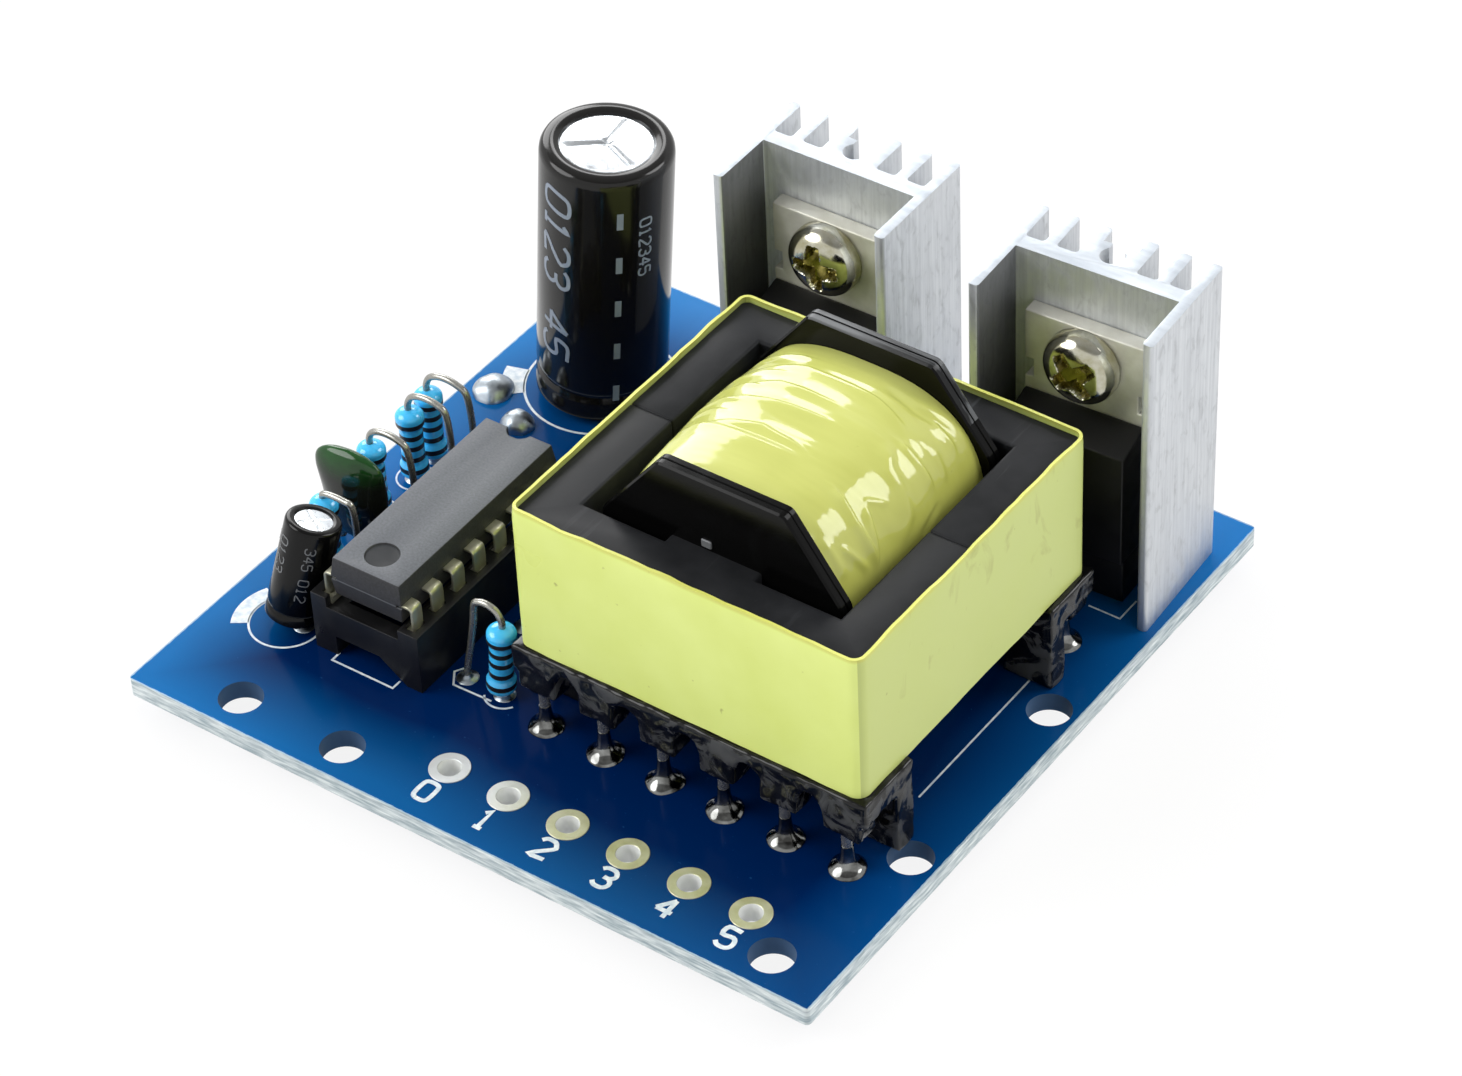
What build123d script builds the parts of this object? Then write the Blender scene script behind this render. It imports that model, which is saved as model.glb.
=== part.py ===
from build123d import *
import math
import os

# Power inverter module: a small step-up inverter board, all sizes in mm, +Z up.
# X runs along the board's front edge (the edge with the row of output pads),
# Y runs back from it, and Z is zero under the trimmed leads below the board.

# clearances and fits
lead_hole_clearance = 0.1      # drilled hole over its lead, on the radius
bore_line_fit = 0.0            # pressed or moulded in, line to line
core_slide_clearance = 0.15    # ferrite leg in the bobbin tube
winding_end_clearance = 0.05   # winding to bobbin flange
tape_lap_clearance = 0.02      # wrapped tape over what it is wrapped on
chip_seat_clearance = 0.15     # chip body over the socket top

# circuit board
lead_stub = 1.8                # how far the thick pins stand below the board
thin_trim = 0.25               # thin wires are cut this much shorter
board_width = 60.5
board_depth = 59.0
board_thickness = 1.6
board_corner_radius = 0.4
board_top = lead_stub + board_thickness

# mounting holes
mount_hole_diameter = 3.4
mount_front_y = -26.6
mount_front_x = (-21.9, -12.4, 25.3)
mount_side_x = 28.0
mount_side_y = (-13.6, 4.3)

# plated output pads
pad_count = 6
pad_first_x = -4.53
pad_pitch = 5.27
pad_y = -24.13
pad_flange_diameter = 3.1
pad_barrel_diameter = 2.1
pad_bore_diameter = 1.7
pad_flange_thickness = 0.08

# solder
solder_pad_diameter = 1.9
solder_fillet_height = 0.9
top_fillet_diameter = 2.9
top_fillet_height = 1.7

# transformer
xf_x = 11.75
xf_y = -2.87
core_length = 29.1             # along X
core_depth = 28.2              # along Y, both halves
core_height = 11.8
core_lift = 8.0                # core underside over the board
window_width = 21.8
window_depth = 21.4
centre_leg_width = 7.6
core_edge_radius = 0.5
core_tape_thickness = 0.25
core_tape_width = 12.7
core_tape_lift = 7.6
core_mid = core_lift + core_height / 2

# bobbin
tube_wall = 0.9
flange_outer = 10.1            # flange outer face from the middle
flange_thickness = 1.3
flange_rise = 25.8             # flange top over the board
flange_top_half = 5.3
flange_half = 10.2
flange_shoulder = 19.4         # where the flange starts to slope
rail_half_length = 15.3
rail_front = 14.75             # rail outer face from the middle
rail_inner = 8.8
rail_arch_top = 5.3
rail_ledge = 7.5
tooth_bottom = 3.6
tooth_width = 3.2
tooth_depth = 2.2
foot_inner = 11.2
foot_depth = 2.0

# transformer pins
pin_count = 6
pin_pitch = 5.25
pin_row = 13.93                # pin row from the middle
pin_diameter = 0.8
pin_top = 6.2

# windings
winding_half = (flange_outer - flange_thickness) - winding_end_clearance
winding_tape_thickness = 0.25
winding_width_end = 20.0
winding_height_end = 20.4
winding_width_mid = 20.9
winding_height_mid = 21.6
primary_width = 14.6
primary_height = 17.4

# main capacitor
main_cap_x = -21.1
main_cap_y = 16.57
main_cap_diameter = 10.3
main_cap_height = 23.6
main_cap_lean_x = 4.2          # degrees towards +X
main_cap_lean_y = 1.3          # degrees towards +Y
main_cap_lift = 0.42
main_cap_pitch = 5.0
main_cap_lead = 0.6

# small capacitor
small_cap_x = -23.93
small_cap_y = -18.01
small_cap_diameter = 4.3
small_cap_height = 8.5
small_cap_lean_x = 7.8
small_cap_lean_y = 15.8
small_cap_lift = 0.75
small_cap_pitch = 2.0
small_cap_lead = 0.45
sleeve_wall = 0.12
can_wall = 0.35
can_foot = 0.3                 # rolled foot of the can over the sleeve's edge
bung_foot = 0.5
bung_top = 2.2
bung_grip = 1.6                # how far a wire stands in the bung
can_crown = 0.15               # lid below the sleeve's top edge

# driver chip and socket
chip_x = -16.05
chip_y = -9.0
chip_turn = 0.8
chip_length = 19.1
chip_width = 6.5
chip_upper = 1.85
chip_lower = 1.6
chip_draft = 7
chip_notch_diameter = 2.1
chip_notch_floor = 0.9         # notch floor over the parting line
chip_dimple_diameter = 2.6
chip_dimple_depth = 0.15
chip_dimple_x = -0.12
chip_dimple_inset = 2.4        # dimple centre from the near end
lead_pitch = 2.54
chip_row = 3.81
chip_lead_thickness = 0.25
chip_lead_wide = 1.4
chip_lead_narrow = 0.46
chip_lead_root = 0.5           # shoulder buried in the body
chip_lead_reach = 2.6          # tip below the socket top
socket_width = 9.8
socket_length = 20.2
socket_height = 5.3
socket_rail = 2.3
socket_end_wall = 1.3
socket_arch_left = -2.9        # steep side of the arch, from the middle
socket_arch_bend = 1.1         # where the arch starts to fall
socket_arch_right = 3.5
socket_arch_height = 1.8
socket_end_drop = 0.9          # end walls below the rails
socket_end_left = -3.5
socket_end_right = 3.1
contact_width = 1.3
contact_depth = 0.9
contact_length = 3.4
contact_pin = 0.5
contact_floor = 0.4            # closed foot of the contact's slot
contact_sink = 0.3             # contact top below the socket top
chip_parting = socket_height + chip_seat_clearance + chip_lower

# resistors: body x, body y, loop end x, loop end y
resistors = (
    (-25.45, -11.7, -22.6, -11.7),
    (-26.4, -4.9, -22.6, -4.9),
    (-26.45, -0.2, -22.6, -0.2),
    (-26.7, 2.4, -22.6, 2.4),
    (-5.9, -15.85, -9.3, -15.85),
    (-5.6, -9.2, -9.2, -9.2),
)
resistor_diameter = 2.25
resistor_waist = 1.85
resistor_length = 6.5
resistor_cap_length = 1.5
resistor_lift = 0.3
resistor_lead = 0.55

# film capacitor
film_x = -25.6
film_y = -8.3
film_width = 6.1
film_thickness = 2.9
film_height = 7.9
film_lift = 1.0
film_pitch = 3.0
film_lead = 0.5
film_grip = 0.9                # wire inside the dip
film_turn = 3
# sections of the drop: share of height, of width and of thickness
film_sections = (
    (0.0, 0.60, 0.50),
    (0.15, 0.74, 0.80),
    (0.45, 0.88, 1.00),
    (0.75, 1.00, 1.00),
    (0.92, 0.86, 0.75),
    (1.0, 0.50, 0.30),
)

# heatsinks, transistors and screws: x, y, turn in degrees
coolers = (
    (-0.75, 20.35, 0.8),
    (21.75, 19.9, 3.0),
)
sink_width = 14.9
sink_depth = 10.5
sink_height = 26.7
sink_flange = 0.85
sink_web_front = 0.2
sink_web = 1.35
sink_fin = 0.95
sink_fin_x = (-4.55, -1.9, 1.9, 4.55)
sink_boss_depth = 2.2
sink_groove_radius = 0.95
sink_groove_mouth = 1.3
sink_tip_radius = 0.3
sink_root_radius = 0.3
sink_pin_diameter = 1.9
sink_pin_grip = 6.0
tab_thickness = 1.3
tab_width = 10.0
transistor_x = -0.1
tab_bottom = 15.4
tab_top = 22.4
tab_hole_diameter = 3.6
tab_notch = 0.7
case_bottom = 4.6
case_depth = 4.5
case_slope = 0.9
to_lead_pitch = 2.54
to_lead_width = 0.8
to_lead_thickness = 0.5
to_lead_back = 2.55            # lead plane from the tab's back
spacer_width = 9.0
spacer_front = 3.45            # spacer front face from the web
spacer_depth = 2.6
screw_height = 19.5
screw_head_diameter = 5.9
screw_head_height = 2.3
screw_diameter = 3.0
screw_length = 4.4

# wire joints at the input
input_joints = ((-27.75, 11.3, 1.65), (-23.7, 9.0, 1.35))
input_joint_height = 1.5


def on_board(x, y, height=0.0):
    return Location((x, y, board_top + height))


def cylinder_up(radius, low, high):
    rod = Cylinder(radius, high - low, align=(Align.CENTER, Align.CENTER, Align.MIN))
    return Pos(0, 0, low) * rod


def box_up(width, depth, low, high):
    block = Box(width, depth, high - low, align=(Align.CENTER, Align.CENTER, Align.MIN))
    return Pos(0, 0, low) * block


def turned(points):
    # a closed profile of (radius, height) points, spun about Z
    outline = Polyline(*[(r, 0, z) for r, z in points], close=True)
    return revolve(make_face(outline), Axis.Z)


def mount_points():
    front = [(x, mount_front_y) for x in mount_front_x]
    side = [(mount_side_x, y) for y in mount_side_y]
    return front + side


def pad_points():
    return [(pad_first_x + i * pad_pitch, pad_y) for i in range(pad_count)]


def pin_points():
    first = -(pin_count - 1) * pin_pitch / 2
    row = [first + i * pin_pitch for i in range(pin_count)]
    return [(xf_x + x, xf_y + side * pin_row) for side in (-1, 1) for x in row]


def chip_place(height=0.0):
    return Location((chip_x, chip_y, board_top + height), (0, 0, chip_turn))


def chip_leads_local():
    first = -7 * lead_pitch / 2
    return [(side, first + i * lead_pitch) for side in (-1, 1) for i in range(8)]


def chip_points():
    spots = []
    for side, y in chip_leads_local():
        spot = (chip_place() * Location((side * chip_row, y, 0))).position
        spots.append((spot.X, spot.Y))
    return spots


def main_cap_points():
    half = main_cap_pitch / 2
    return [(main_cap_x, main_cap_y + side * half) for side in (-1, 1)]


def small_cap_points():
    half = small_cap_pitch / 2
    return [(small_cap_x + side * half, small_cap_y) for side in (-1, 1)]


def film_points():
    place = Location((film_x, film_y, 0), (0, 0, film_turn))
    ends = [(place * Location((s * film_pitch / 2, 0, 0))).position for s in (-1, 1)]
    return [(p.X, p.Y) for p in ends]


def resistor_points():
    bodies = [(r[0], r[1]) for r in resistors]
    loops = [(r[2], r[3]) for r in resistors]
    return bodies + loops


def cooler_place(cooler, height=0.0):
    return Location((cooler[0], cooler[1], board_top + height), (0, 0, cooler[2]))


def transistor_points():
    spots = []
    for cooler in coolers:
        for i in (-1, 0, 1):
            x = transistor_x + i * to_lead_pitch
            y = sink_web_front - to_lead_back
            spot = (cooler_place(cooler) * Location((x, y, 0))).position
            spots.append((spot.X, spot.Y))
    return spots


def groove_y():
    return sink_web_front + sink_web + sink_groove_radius


def sink_pin_points():
    spots = [cooler_place(c) * Location((0, groove_y(), 0)) for c in coolers]
    return [(s.position.X, s.position.Y) for s in spots]


def round_leads():
    # every drilled lead: x, y, lead radius
    leads = [(x, y, pin_diameter / 2) for x, y in pin_points()]
    leads += [(x, y, main_cap_lead / 2) for x, y in main_cap_points()]
    leads += [(x, y, small_cap_lead / 2) for x, y in small_cap_points()]
    leads += [(x, y, film_lead / 2) for x, y in film_points()]
    leads += [(x, y, resistor_lead / 2) for x, y in resistor_points()]
    leads += [(x, y, sink_pin_diameter / 2) for x, y in sink_pin_points()]
    return leads


def flat_leads():
    # flat leads sit in round holes over their diagonal
    chip_radius = math.hypot(contact_pin, chip_lead_thickness) / 2
    to_radius = math.hypot(to_lead_width, to_lead_thickness) / 2
    leads = [(x, y, chip_radius) for x, y in chip_points()]
    leads += [(x, y, to_radius) for x, y in transistor_points()]
    return leads


# board
def make_board():
    plate = box_up(board_width, board_depth, lead_stub, board_top)
    board = fillet(plate.edges().filter_by(Axis.Z), board_corner_radius)
    drills = [(x, y, mount_hole_diameter / 2) for x, y in mount_points()]
    drills += [(x, y, pad_barrel_diameter / 2) for x, y in pad_points()]
    for x, y, radius in round_leads() + flat_leads():
        drills.append((x, y, radius + lead_hole_clearance))
    low = lead_stub - 1
    cuts = [Pos(x, y, 0) * cylinder_up(r, low, board_top + 1) for x, y, r in drills]
    return board - cuts


def make_pads():
    low = lead_stub - pad_flange_thickness
    high = board_top + pad_flange_thickness
    flange = pad_flange_diameter / 2
    barrel = pad_barrel_diameter / 2
    bore = pad_bore_diameter / 2
    profile = [(bore, low), (flange, low), (flange, lead_stub), (barrel, lead_stub)]
    profile += [(barrel, board_top), (flange, board_top), (flange, high), (bore, high)]
    eyelet = turned(profile)
    return [Pos(x, y, 0) * eyelet for x, y in pad_points()]


def fillet_cone(hole_radius, pad_radius, height):
    tip = hole_radius + 0.25
    mid = hole_radius + (pad_radius - hole_radius) * 0.4
    profile = [(hole_radius, 0), (pad_radius, 0), (mid, height * 0.35), (tip, height)]
    return turned(profile + [(hole_radius, height)])


def make_underside_solder():
    joints = []
    for x, y, radius in round_leads():
        pad = max(solder_pad_diameter / 2, radius + 0.6)
        cone = fillet_cone(radius, pad, solder_fillet_height)
        joints.append(Location((x, y, lead_stub), (180, 0, 0)) * cone)
    return joints


def make_flat_solder():
    joints = []
    chips = [(x, y, chip_turn, contact_pin, chip_lead_thickness) for x, y in chip_points()]
    cases = []
    for number, (x, y) in enumerate(transistor_points()):
        turn = coolers[number // 3][2]
        cases.append((x, y, turn, to_lead_width, to_lead_thickness))
    for x, y, turn, wide, thin in chips + cases:
        tall = solder_fillet_height
        cone = turned([(0, 0), (solder_pad_diameter / 2, 0), (wide * 0.75, tall), (0, tall)])
        size = (wide, thin) if wide == to_lead_width else (thin, wide)
        cone -= box_up(size[0], size[1], -1, 2)
        joints.append(Location((x, y, lead_stub), (180, 0, -turn)) * cone)
    return joints


def make_transformer_solder():
    cone = fillet_cone(pin_diameter / 2, top_fillet_diameter / 2, top_fillet_height)
    return [on_board(x, y) * cone for x, y in pin_points()]


# transformer
def core_half(side):
    whole = box_up(core_length, core_depth, 0, core_height)
    whole = fillet(whole.edges().filter_by(Axis.Z), core_edge_radius)
    slot_width = (window_width - centre_leg_width) / 2
    slot_x = (centre_leg_width + slot_width) / 2
    for s in (-1, 1):
        whole -= Pos(s * slot_x, 0, 0) * box_up(slot_width, window_depth, -1, core_height + 1)
    keep = Pos(0, side * core_depth / 2, 0) * box_up(core_length * 2, core_depth, -1, core_height + 1)
    return on_board(xf_x, xf_y, core_lift) * (whole & keep)


def make_core_tape():
    grow = 2 * (core_tape_thickness + tape_lap_clearance)
    outer = box_up(core_length + grow, core_depth + grow, 0, core_tape_width)
    outer = fillet(outer.edges().filter_by(Axis.Z), core_edge_radius + grow / 2)
    gap = 2 * tape_lap_clearance
    inner = box_up(core_length + gap, core_depth + gap, -1, core_tape_width + 1)
    inner = fillet(inner.edges().filter_by(Axis.Z), core_edge_radius + gap / 2)
    return on_board(xf_x, xf_y, core_tape_lift) * (outer - inner)


def tube_size():
    width = centre_leg_width + 2 * core_slide_clearance
    height = core_height + 2 * core_slide_clearance
    return width, height


def flange_plate():
    # eight-sided flange, wide at the core and narrow at its top
    low = rail_arch_top
    foot = flange_half
    top = flange_rise
    right = [(foot, low), (foot, flange_shoulder), (flange_top_half, top)]
    left = [(-x, z) for x, z in reversed(right)]
    outline = Polyline(*[(x, 0, z) for x, z in right + left], close=True)
    return extrude(make_face(outline), amount=flange_thickness, dir=(0, 1, 0))


def bobbin_rail():
    # one pin rail on the +Y side, with its teeth, arches and feet
    length = 2 * rail_half_length
    upper_half = core_length / 2 - 0.15
    upper_depth = core_depth / 2 - 0.1 - rail_inner
    upper = box_up(2 * upper_half, upper_depth, rail_arch_top, core_lift)
    rail = Pos(0, rail_inner + upper_depth / 2, 0) * upper
    ledge_depth = rail_front - rail_inner
    ledge = box_up(length, ledge_depth, rail_arch_top, rail_ledge)
    rail += Pos(0, rail_inner + ledge_depth / 2, 0) * ledge
    first = -(pin_count - 1) * pin_pitch / 2
    tooth = box_up(tooth_width, tooth_depth, tooth_bottom, rail_arch_top)
    for i in range(pin_count):
        rail += Pos(first + i * pin_pitch, rail_front - tooth_depth / 2, 0) * tooth
    foot_width = rail_half_length - foot_inner
    foot = box_up(foot_width, foot_depth, 0, rail_arch_top)
    for side in (-1, 1):
        x = side * (foot_inner + foot_width / 2)
        rail += Pos(x, rail_inner + foot_depth / 2, 0) * foot
    arch_radius = (pin_pitch - tooth_width) / 2
    arch = Rot(90, 0, 0) * Cylinder(arch_radius, 3 * tooth_depth)
    for i in range(pin_count - 1):
        x = first + (i + 0.5) * pin_pitch
        rail -= Pos(x, rail_front, rail_arch_top) * arch
    for i in range(pin_count):
        pin = cylinder_up(pin_diameter / 2 + bore_line_fit, 0, pin_top)
        rail -= Pos(first + i * pin_pitch, pin_row, 0) * pin
    return rail


def make_bobbin():
    tube_width, tube_height = tube_size()
    length = 2 * flange_outer
    outer = Box(tube_width + 2 * tube_wall, length, tube_height + 2 * tube_wall)
    bobbin = Pos(0, 0, core_mid) * outer
    bobbin += Pos(0, -flange_outer, 0) * flange_plate()
    bobbin += Pos(0, flange_outer - flange_thickness, 0) * flange_plate()
    rail = bobbin_rail()
    bobbin += rail
    bobbin += Rot(0, 0, 180) * rail
    bobbin -= Pos(0, 0, core_mid) * Box(tube_width, length + 2, tube_height)
    return on_board(xf_x, xf_y) * bobbin


def ring_solid(width, height, radius):
    section = Plane.XZ * RectangleRounded(width, height, radius)
    return extrude(section, amount=winding_half, both=True)


def barrel(inset):
    # three sections along Y, fuller in the middle
    stations = ((-winding_half, False), (0, True), (winding_half, False))
    sections = []
    for y, middle in stations:
        width = (winding_width_mid if middle else winding_width_end) - 2 * inset
        height = (winding_height_mid if middle else winding_height_end) - 2 * inset
        plane = Plane((0, y, 0), x_dir=(1, 0, 0), z_dir=(0, 1, 0))
        sections.append(plane * RectangleRounded(width, height, width * 0.38))
    return loft(sections)


def make_windings():
    tube_width, tube_height = tube_size()
    tube_width += 2 * tube_wall
    tube_height += 2 * tube_wall
    tube = Box(tube_width, 4 * winding_half, tube_height)
    primary_outer = ring_solid(primary_width, primary_height, 3.5)
    secondary_outer = barrel(winding_tape_thickness)
    tape_outer = barrel(0)
    place = on_board(xf_x, xf_y, core_mid)
    primary = place * (primary_outer - tube)
    secondary = place * (secondary_outer - primary_outer)
    tape = place * (tape_outer - secondary_outer)
    return primary, secondary, tape


def make_pins():
    pin = cylinder_up(pin_diameter / 2, 0, board_top + pin_top)
    return [Pos(x, y, 0) * pin for x, y in pin_points()]


# electrolytic capacitors, made upright on their axis and then leant over
def cap_shape(diameter, height, leads, lean, spot, lift):
    radius = diameter / 2
    inner = radius - sleeve_wall
    bend = radius * 0.13
    lid = height - can_crown
    wall = inner - can_wall
    hollow = [(0, bung_top), (wall, bung_top), (wall, can_foot), (inner, can_foot)]
    can = turned(hollow + [(inner, lid - bend), (inner - bend, lid), (0, lid)])
    rim = inner - bend - radius * 0.1
    skin = [(inner, 0), (radius, 0), (radius, height - bend), (radius - bend, height)]
    skin += [(rim, height), (rim, lid), (inner - bend, lid), (inner, lid - bend)]
    sleeve = turned(skin)
    bung = cylinder_up(wall, bung_foot, bung_top)
    place = Location((spot[0], spot[1], board_top + lift), (-lean[1], lean[0], 0))
    wires = []
    for x, y, wire in leads:
        wires.append(Pos(x, y, 0) * cylinder_up(wire / 2, thin_trim, board_top + lift + bung_grip))
    bung = (place * bung) - wires
    can = place * can
    return can, place * sleeve, bung, wires


def make_main_cap():
    leads = [(x, y, main_cap_lead) for x, y in main_cap_points()]
    lean = (main_cap_lean_x, main_cap_lean_y)
    spot = (main_cap_x, main_cap_y)
    return cap_shape(main_cap_diameter, main_cap_height, leads, lean, spot, main_cap_lift)


def make_small_cap():
    leads = [(x, y, small_cap_lead) for x, y in small_cap_points()]
    lean = (small_cap_lean_x, small_cap_lean_y)
    spot = (small_cap_x, small_cap_y)
    return cap_shape(small_cap_diameter, small_cap_height, leads, lean, spot, small_cap_lift)


# chip and its socket
def chip_lead(side, y):
    # one gull: shoulder out of the body, wide drop, narrow tip
    half = chip_lead_thickness / 2
    inner = chip_width / 2 - chip_lead_root
    outer = chip_row + half
    top = chip_parting + half
    shoulder_length = outer - inner
    shoulder = Box(shoulder_length, chip_lead_wide, chip_lead_thickness)
    wide_low = socket_height
    lead = Pos(inner + shoulder_length / 2, 0, chip_parting) * shoulder
    wide = box_up(chip_lead_thickness, chip_lead_wide, wide_low, top)
    narrow_low = wide_low - chip_lead_reach
    narrow = box_up(chip_lead_thickness, chip_lead_narrow, narrow_low, wide_low)
    lead += Pos(chip_row, 0, 0) * wide
    lead += Pos(chip_row, 0, 0) * narrow
    if side < 0:
        lead = Rot(0, 0, 180) * lead
    return Pos(0, y, 0) * lead


def make_chip():
    middle = Rectangle(chip_width, chip_length)
    upper = extrude(middle, amount=chip_upper, taper=chip_draft)
    lower = extrude(middle, amount=-chip_lower, taper=chip_draft)
    body = Pos(0, 0, chip_parting) * (upper + lower)
    top = chip_parting + chip_upper
    above = top + chip_upper
    notch = cylinder_up(chip_notch_diameter / 2, chip_parting + chip_notch_floor, above)
    body -= Pos(0, chip_length / 2, 0) * notch
    dimple = cylinder_up(chip_dimple_diameter / 2, top - chip_dimple_depth, above)
    body -= Pos(chip_dimple_x, chip_dimple_inset - chip_length / 2, 0) * dimple
    leads = [chip_lead(side, y) for side, y in chip_leads_local()]
    body -= leads
    return chip_place() * body, [chip_place() * lead for lead in leads]


def make_socket():
    outer = box_up(socket_width, socket_length, 0, socket_height)
    well_width = socket_width - 2 * socket_rail - 0.4
    well_length = socket_length - 2 * socket_end_wall
    body = outer - box_up(well_width, well_length, -1, socket_height + 1)
    body -= socket_arch()
    dip_width = socket_end_right - socket_end_left
    dip_middle = (socket_end_right + socket_end_left) / 2
    dip = box_up(dip_width, 2 * socket_length, socket_height - socket_end_drop, 2 * socket_height)
    body -= Pos(dip_middle, 0, 0) * dip
    entry = box_up(contact_depth, contact_width, -1, socket_height + 1)
    contacts = []
    for side, y in chip_leads_local():
        body -= Pos(side * chip_row, y, 0) * entry
        contacts.append(Pos(side * chip_row, y, 0) * socket_contact())
    return chip_place() * body, [chip_place() * c for c in contacts]


def socket_arch():
    # opening under both end walls: steep on one side, sloped on the other
    tall = socket_arch_height
    outline = [(socket_arch_left, -tall), (socket_arch_left, tall), (socket_arch_bend, tall)]
    outline += [(socket_arch_right, 0), (socket_arch_right, -tall)]
    face = make_face(Polyline(*[(x, 0, z) for x, z in outline], close=True))
    return extrude(face, amount=socket_length, both=True)


def socket_contact():
    high = socket_height - contact_sink
    low = high - contact_length
    sleeve = box_up(contact_depth, contact_width, low, high)
    sleeve -= box_up(chip_lead_thickness, chip_lead_narrow, low + contact_floor, socket_height)
    pin = box_up(chip_lead_thickness, contact_pin, -board_top, low)
    return sleeve + pin


# resistors
def resistor_body():
    full = resistor_diameter / 2
    waist = resistor_waist / 2
    cap = resistor_cap_length
    long = resistor_length
    bare = resistor_lead / 2
    profile = [(0, 0), (bare + 0.25, 0), (full * 0.86, 0.25), (full, 0.65), (full, cap - 0.3)]
    profile += [(waist, cap + 0.15), (waist, long - cap - 0.15), (full, long - cap + 0.3)]
    profile += [(full, long - 0.65), (full * 0.86, long - 0.25), (bare + 0.25, long), (0, long)]
    return turned(profile)


def resistor_leads(bx, by, lx, ly):
    radius = resistor_lead / 2
    body_low = board_top + resistor_lift
    body_high = body_low + resistor_length
    lower = Pos(bx, by, 0) * cylinder_up(radius, thin_trim, body_low)
    reach = math.hypot(lx - bx, ly - by)
    across = ((by - ly) / reach, (lx - bx) / reach, 0)
    middle = ((bx + lx) / 2, (by + ly) / 2, body_high)
    ring = Plane((bx, by, body_high), z_dir=(0, 0, 1)) * Circle(radius)
    bend = revolve(ring, Axis(middle, across), revolution_arc=180)
    drop = Pos(lx, ly, 0) * cylinder_up(radius, thin_trim, body_high)
    upper = bend + drop
    return lower, upper


def make_resistors():
    bodies = []
    leads = []
    for bx, by, lx, ly in resistors:
        bodies.append(on_board(bx, by, resistor_lift) * resistor_body())
        leads.append(resistor_leads(bx, by, lx, ly))
    return bodies, leads


# film capacitor
def make_film_cap():
    sections = []
    for rise, wide, thick in film_sections:
        plane = Plane((0, 0, rise * film_height))
        sections.append(plane * Ellipse(film_width / 2 * wide, film_thickness / 2 * thick))
    place = Location((film_x, film_y, board_top + film_lift), (0, 0, film_turn))
    wires = []
    for x, y in film_points():
        wires.append(Pos(x, y, 0) * cylinder_up(film_lead / 2, thin_trim, board_top + film_lift + film_grip))
    body = place * loft(sections) - wires
    return body, wires


# heatsinks, the feature that takes most skill: one extruded section
def sink_section():
    half = sink_width / 2
    front = -sink_depth / 2
    back = sink_depth / 2
    web_back = sink_web_front + sink_web
    section = Pos(0, (sink_web_front + web_back) / 2) * Rectangle(sink_width, sink_web)
    for side in (-1, 1):
        section += Pos(side * (half - sink_flange / 2), 0) * Rectangle(sink_flange, sink_depth)
    fin_depth = back - web_back
    for x in sink_fin_x:
        section += Pos(x, web_back + fin_depth / 2) * Rectangle(sink_fin, fin_depth)
    boss_width = 2 * abs(sink_fin_x[1])
    section += Pos(0, web_back + sink_boss_depth / 2) * Rectangle(boss_width, sink_boss_depth)
    for y, radius in ((front, sink_tip_radius), (back, sink_tip_radius), (web_back, sink_root_radius)):
        corners = section.vertices().filter_by(lambda v: abs(v.Y - y) < 0.01)
        section = fillet(corners, radius)
    # round groove for the board pin, open to the back between two hooks
    section -= Pos(0, groove_y()) * Circle(sink_groove_radius)
    section -= Pos(0, groove_y() + sink_boss_depth / 2) * Rectangle(sink_groove_mouth, sink_boss_depth)
    return section


def make_sink(cooler):
    sink = extrude(sink_section(), amount=sink_height)
    thread = Rot(90, 0, 0) * Cylinder(screw_diameter / 2 + bore_line_fit, 2 * screw_length)
    sink -= Pos(transistor_x, sink_web_front, screw_height) * thread
    return cooler_place(cooler) * sink


def make_sink_pins():
    pin = cylinder_up(sink_pin_diameter / 2, -board_top, sink_pin_grip)
    return [cooler_place(c) * Pos(0, groove_y(), 0) * pin for c in coolers]


def make_tab(cooler):
    back = sink_web_front
    mid = back - tab_thickness / 2
    tab = Pos(transistor_x, mid, 0) * box_up(tab_width, tab_thickness, case_bottom + 0.6, tab_top)
    for side in (-1, 1):
        x = transistor_x + side * tab_width / 2
        tab -= Pos(x, mid, tab_top - 5.2) * Box(2 * tab_notch, 2 * tab_thickness, 1.6)
    hole = Rot(90, 0, 0) * Cylinder(tab_hole_diameter / 2, 4 * tab_thickness)
    tab -= Pos(transistor_x, mid, screw_height) * hole
    return tab


def case_block():
    back = sink_web_front - 0.02
    front = sink_web_front - case_depth
    top_front = tab_bottom - case_slope
    outline = [(back, case_bottom), (front, case_bottom), (front, top_front)]
    outline += [(sink_web_front - tab_thickness - 0.3, tab_bottom), (back, tab_bottom)]
    face = make_face(Polyline(*[(0, y, z) for y, z in outline], close=True))
    block = extrude(face, amount=tab_width / 2 - 0.1, both=True)
    return Pos(transistor_x, 0, 0) * block


def transistor_leads_local():
    y = sink_web_front - to_lead_back
    wires = []
    for i in (-1, 0, 1):
        x = transistor_x + i * to_lead_pitch
        thin = box_up(to_lead_width, to_lead_thickness, thin_trim - board_top, case_bottom)
        root = box_up(to_lead_width, to_lead_thickness, case_bottom, case_bottom + 1.0)
        wires.append(Pos(x, y, 0) * (thin + root))
    return wires


def make_transistor(cooler):
    place = cooler_place(cooler)
    tab = make_tab(cooler)
    wires = transistor_leads_local()
    case = case_block() - tab - wires
    spacer_y = sink_web_front - spacer_front + spacer_depth / 2
    spacer = Pos(transistor_x, spacer_y, 0) * box_up(spacer_width, spacer_depth, 0, case_bottom)
    spacer = spacer - wires
    return place * tab, place * case, [place * w for w in wires], place * spacer


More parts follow.
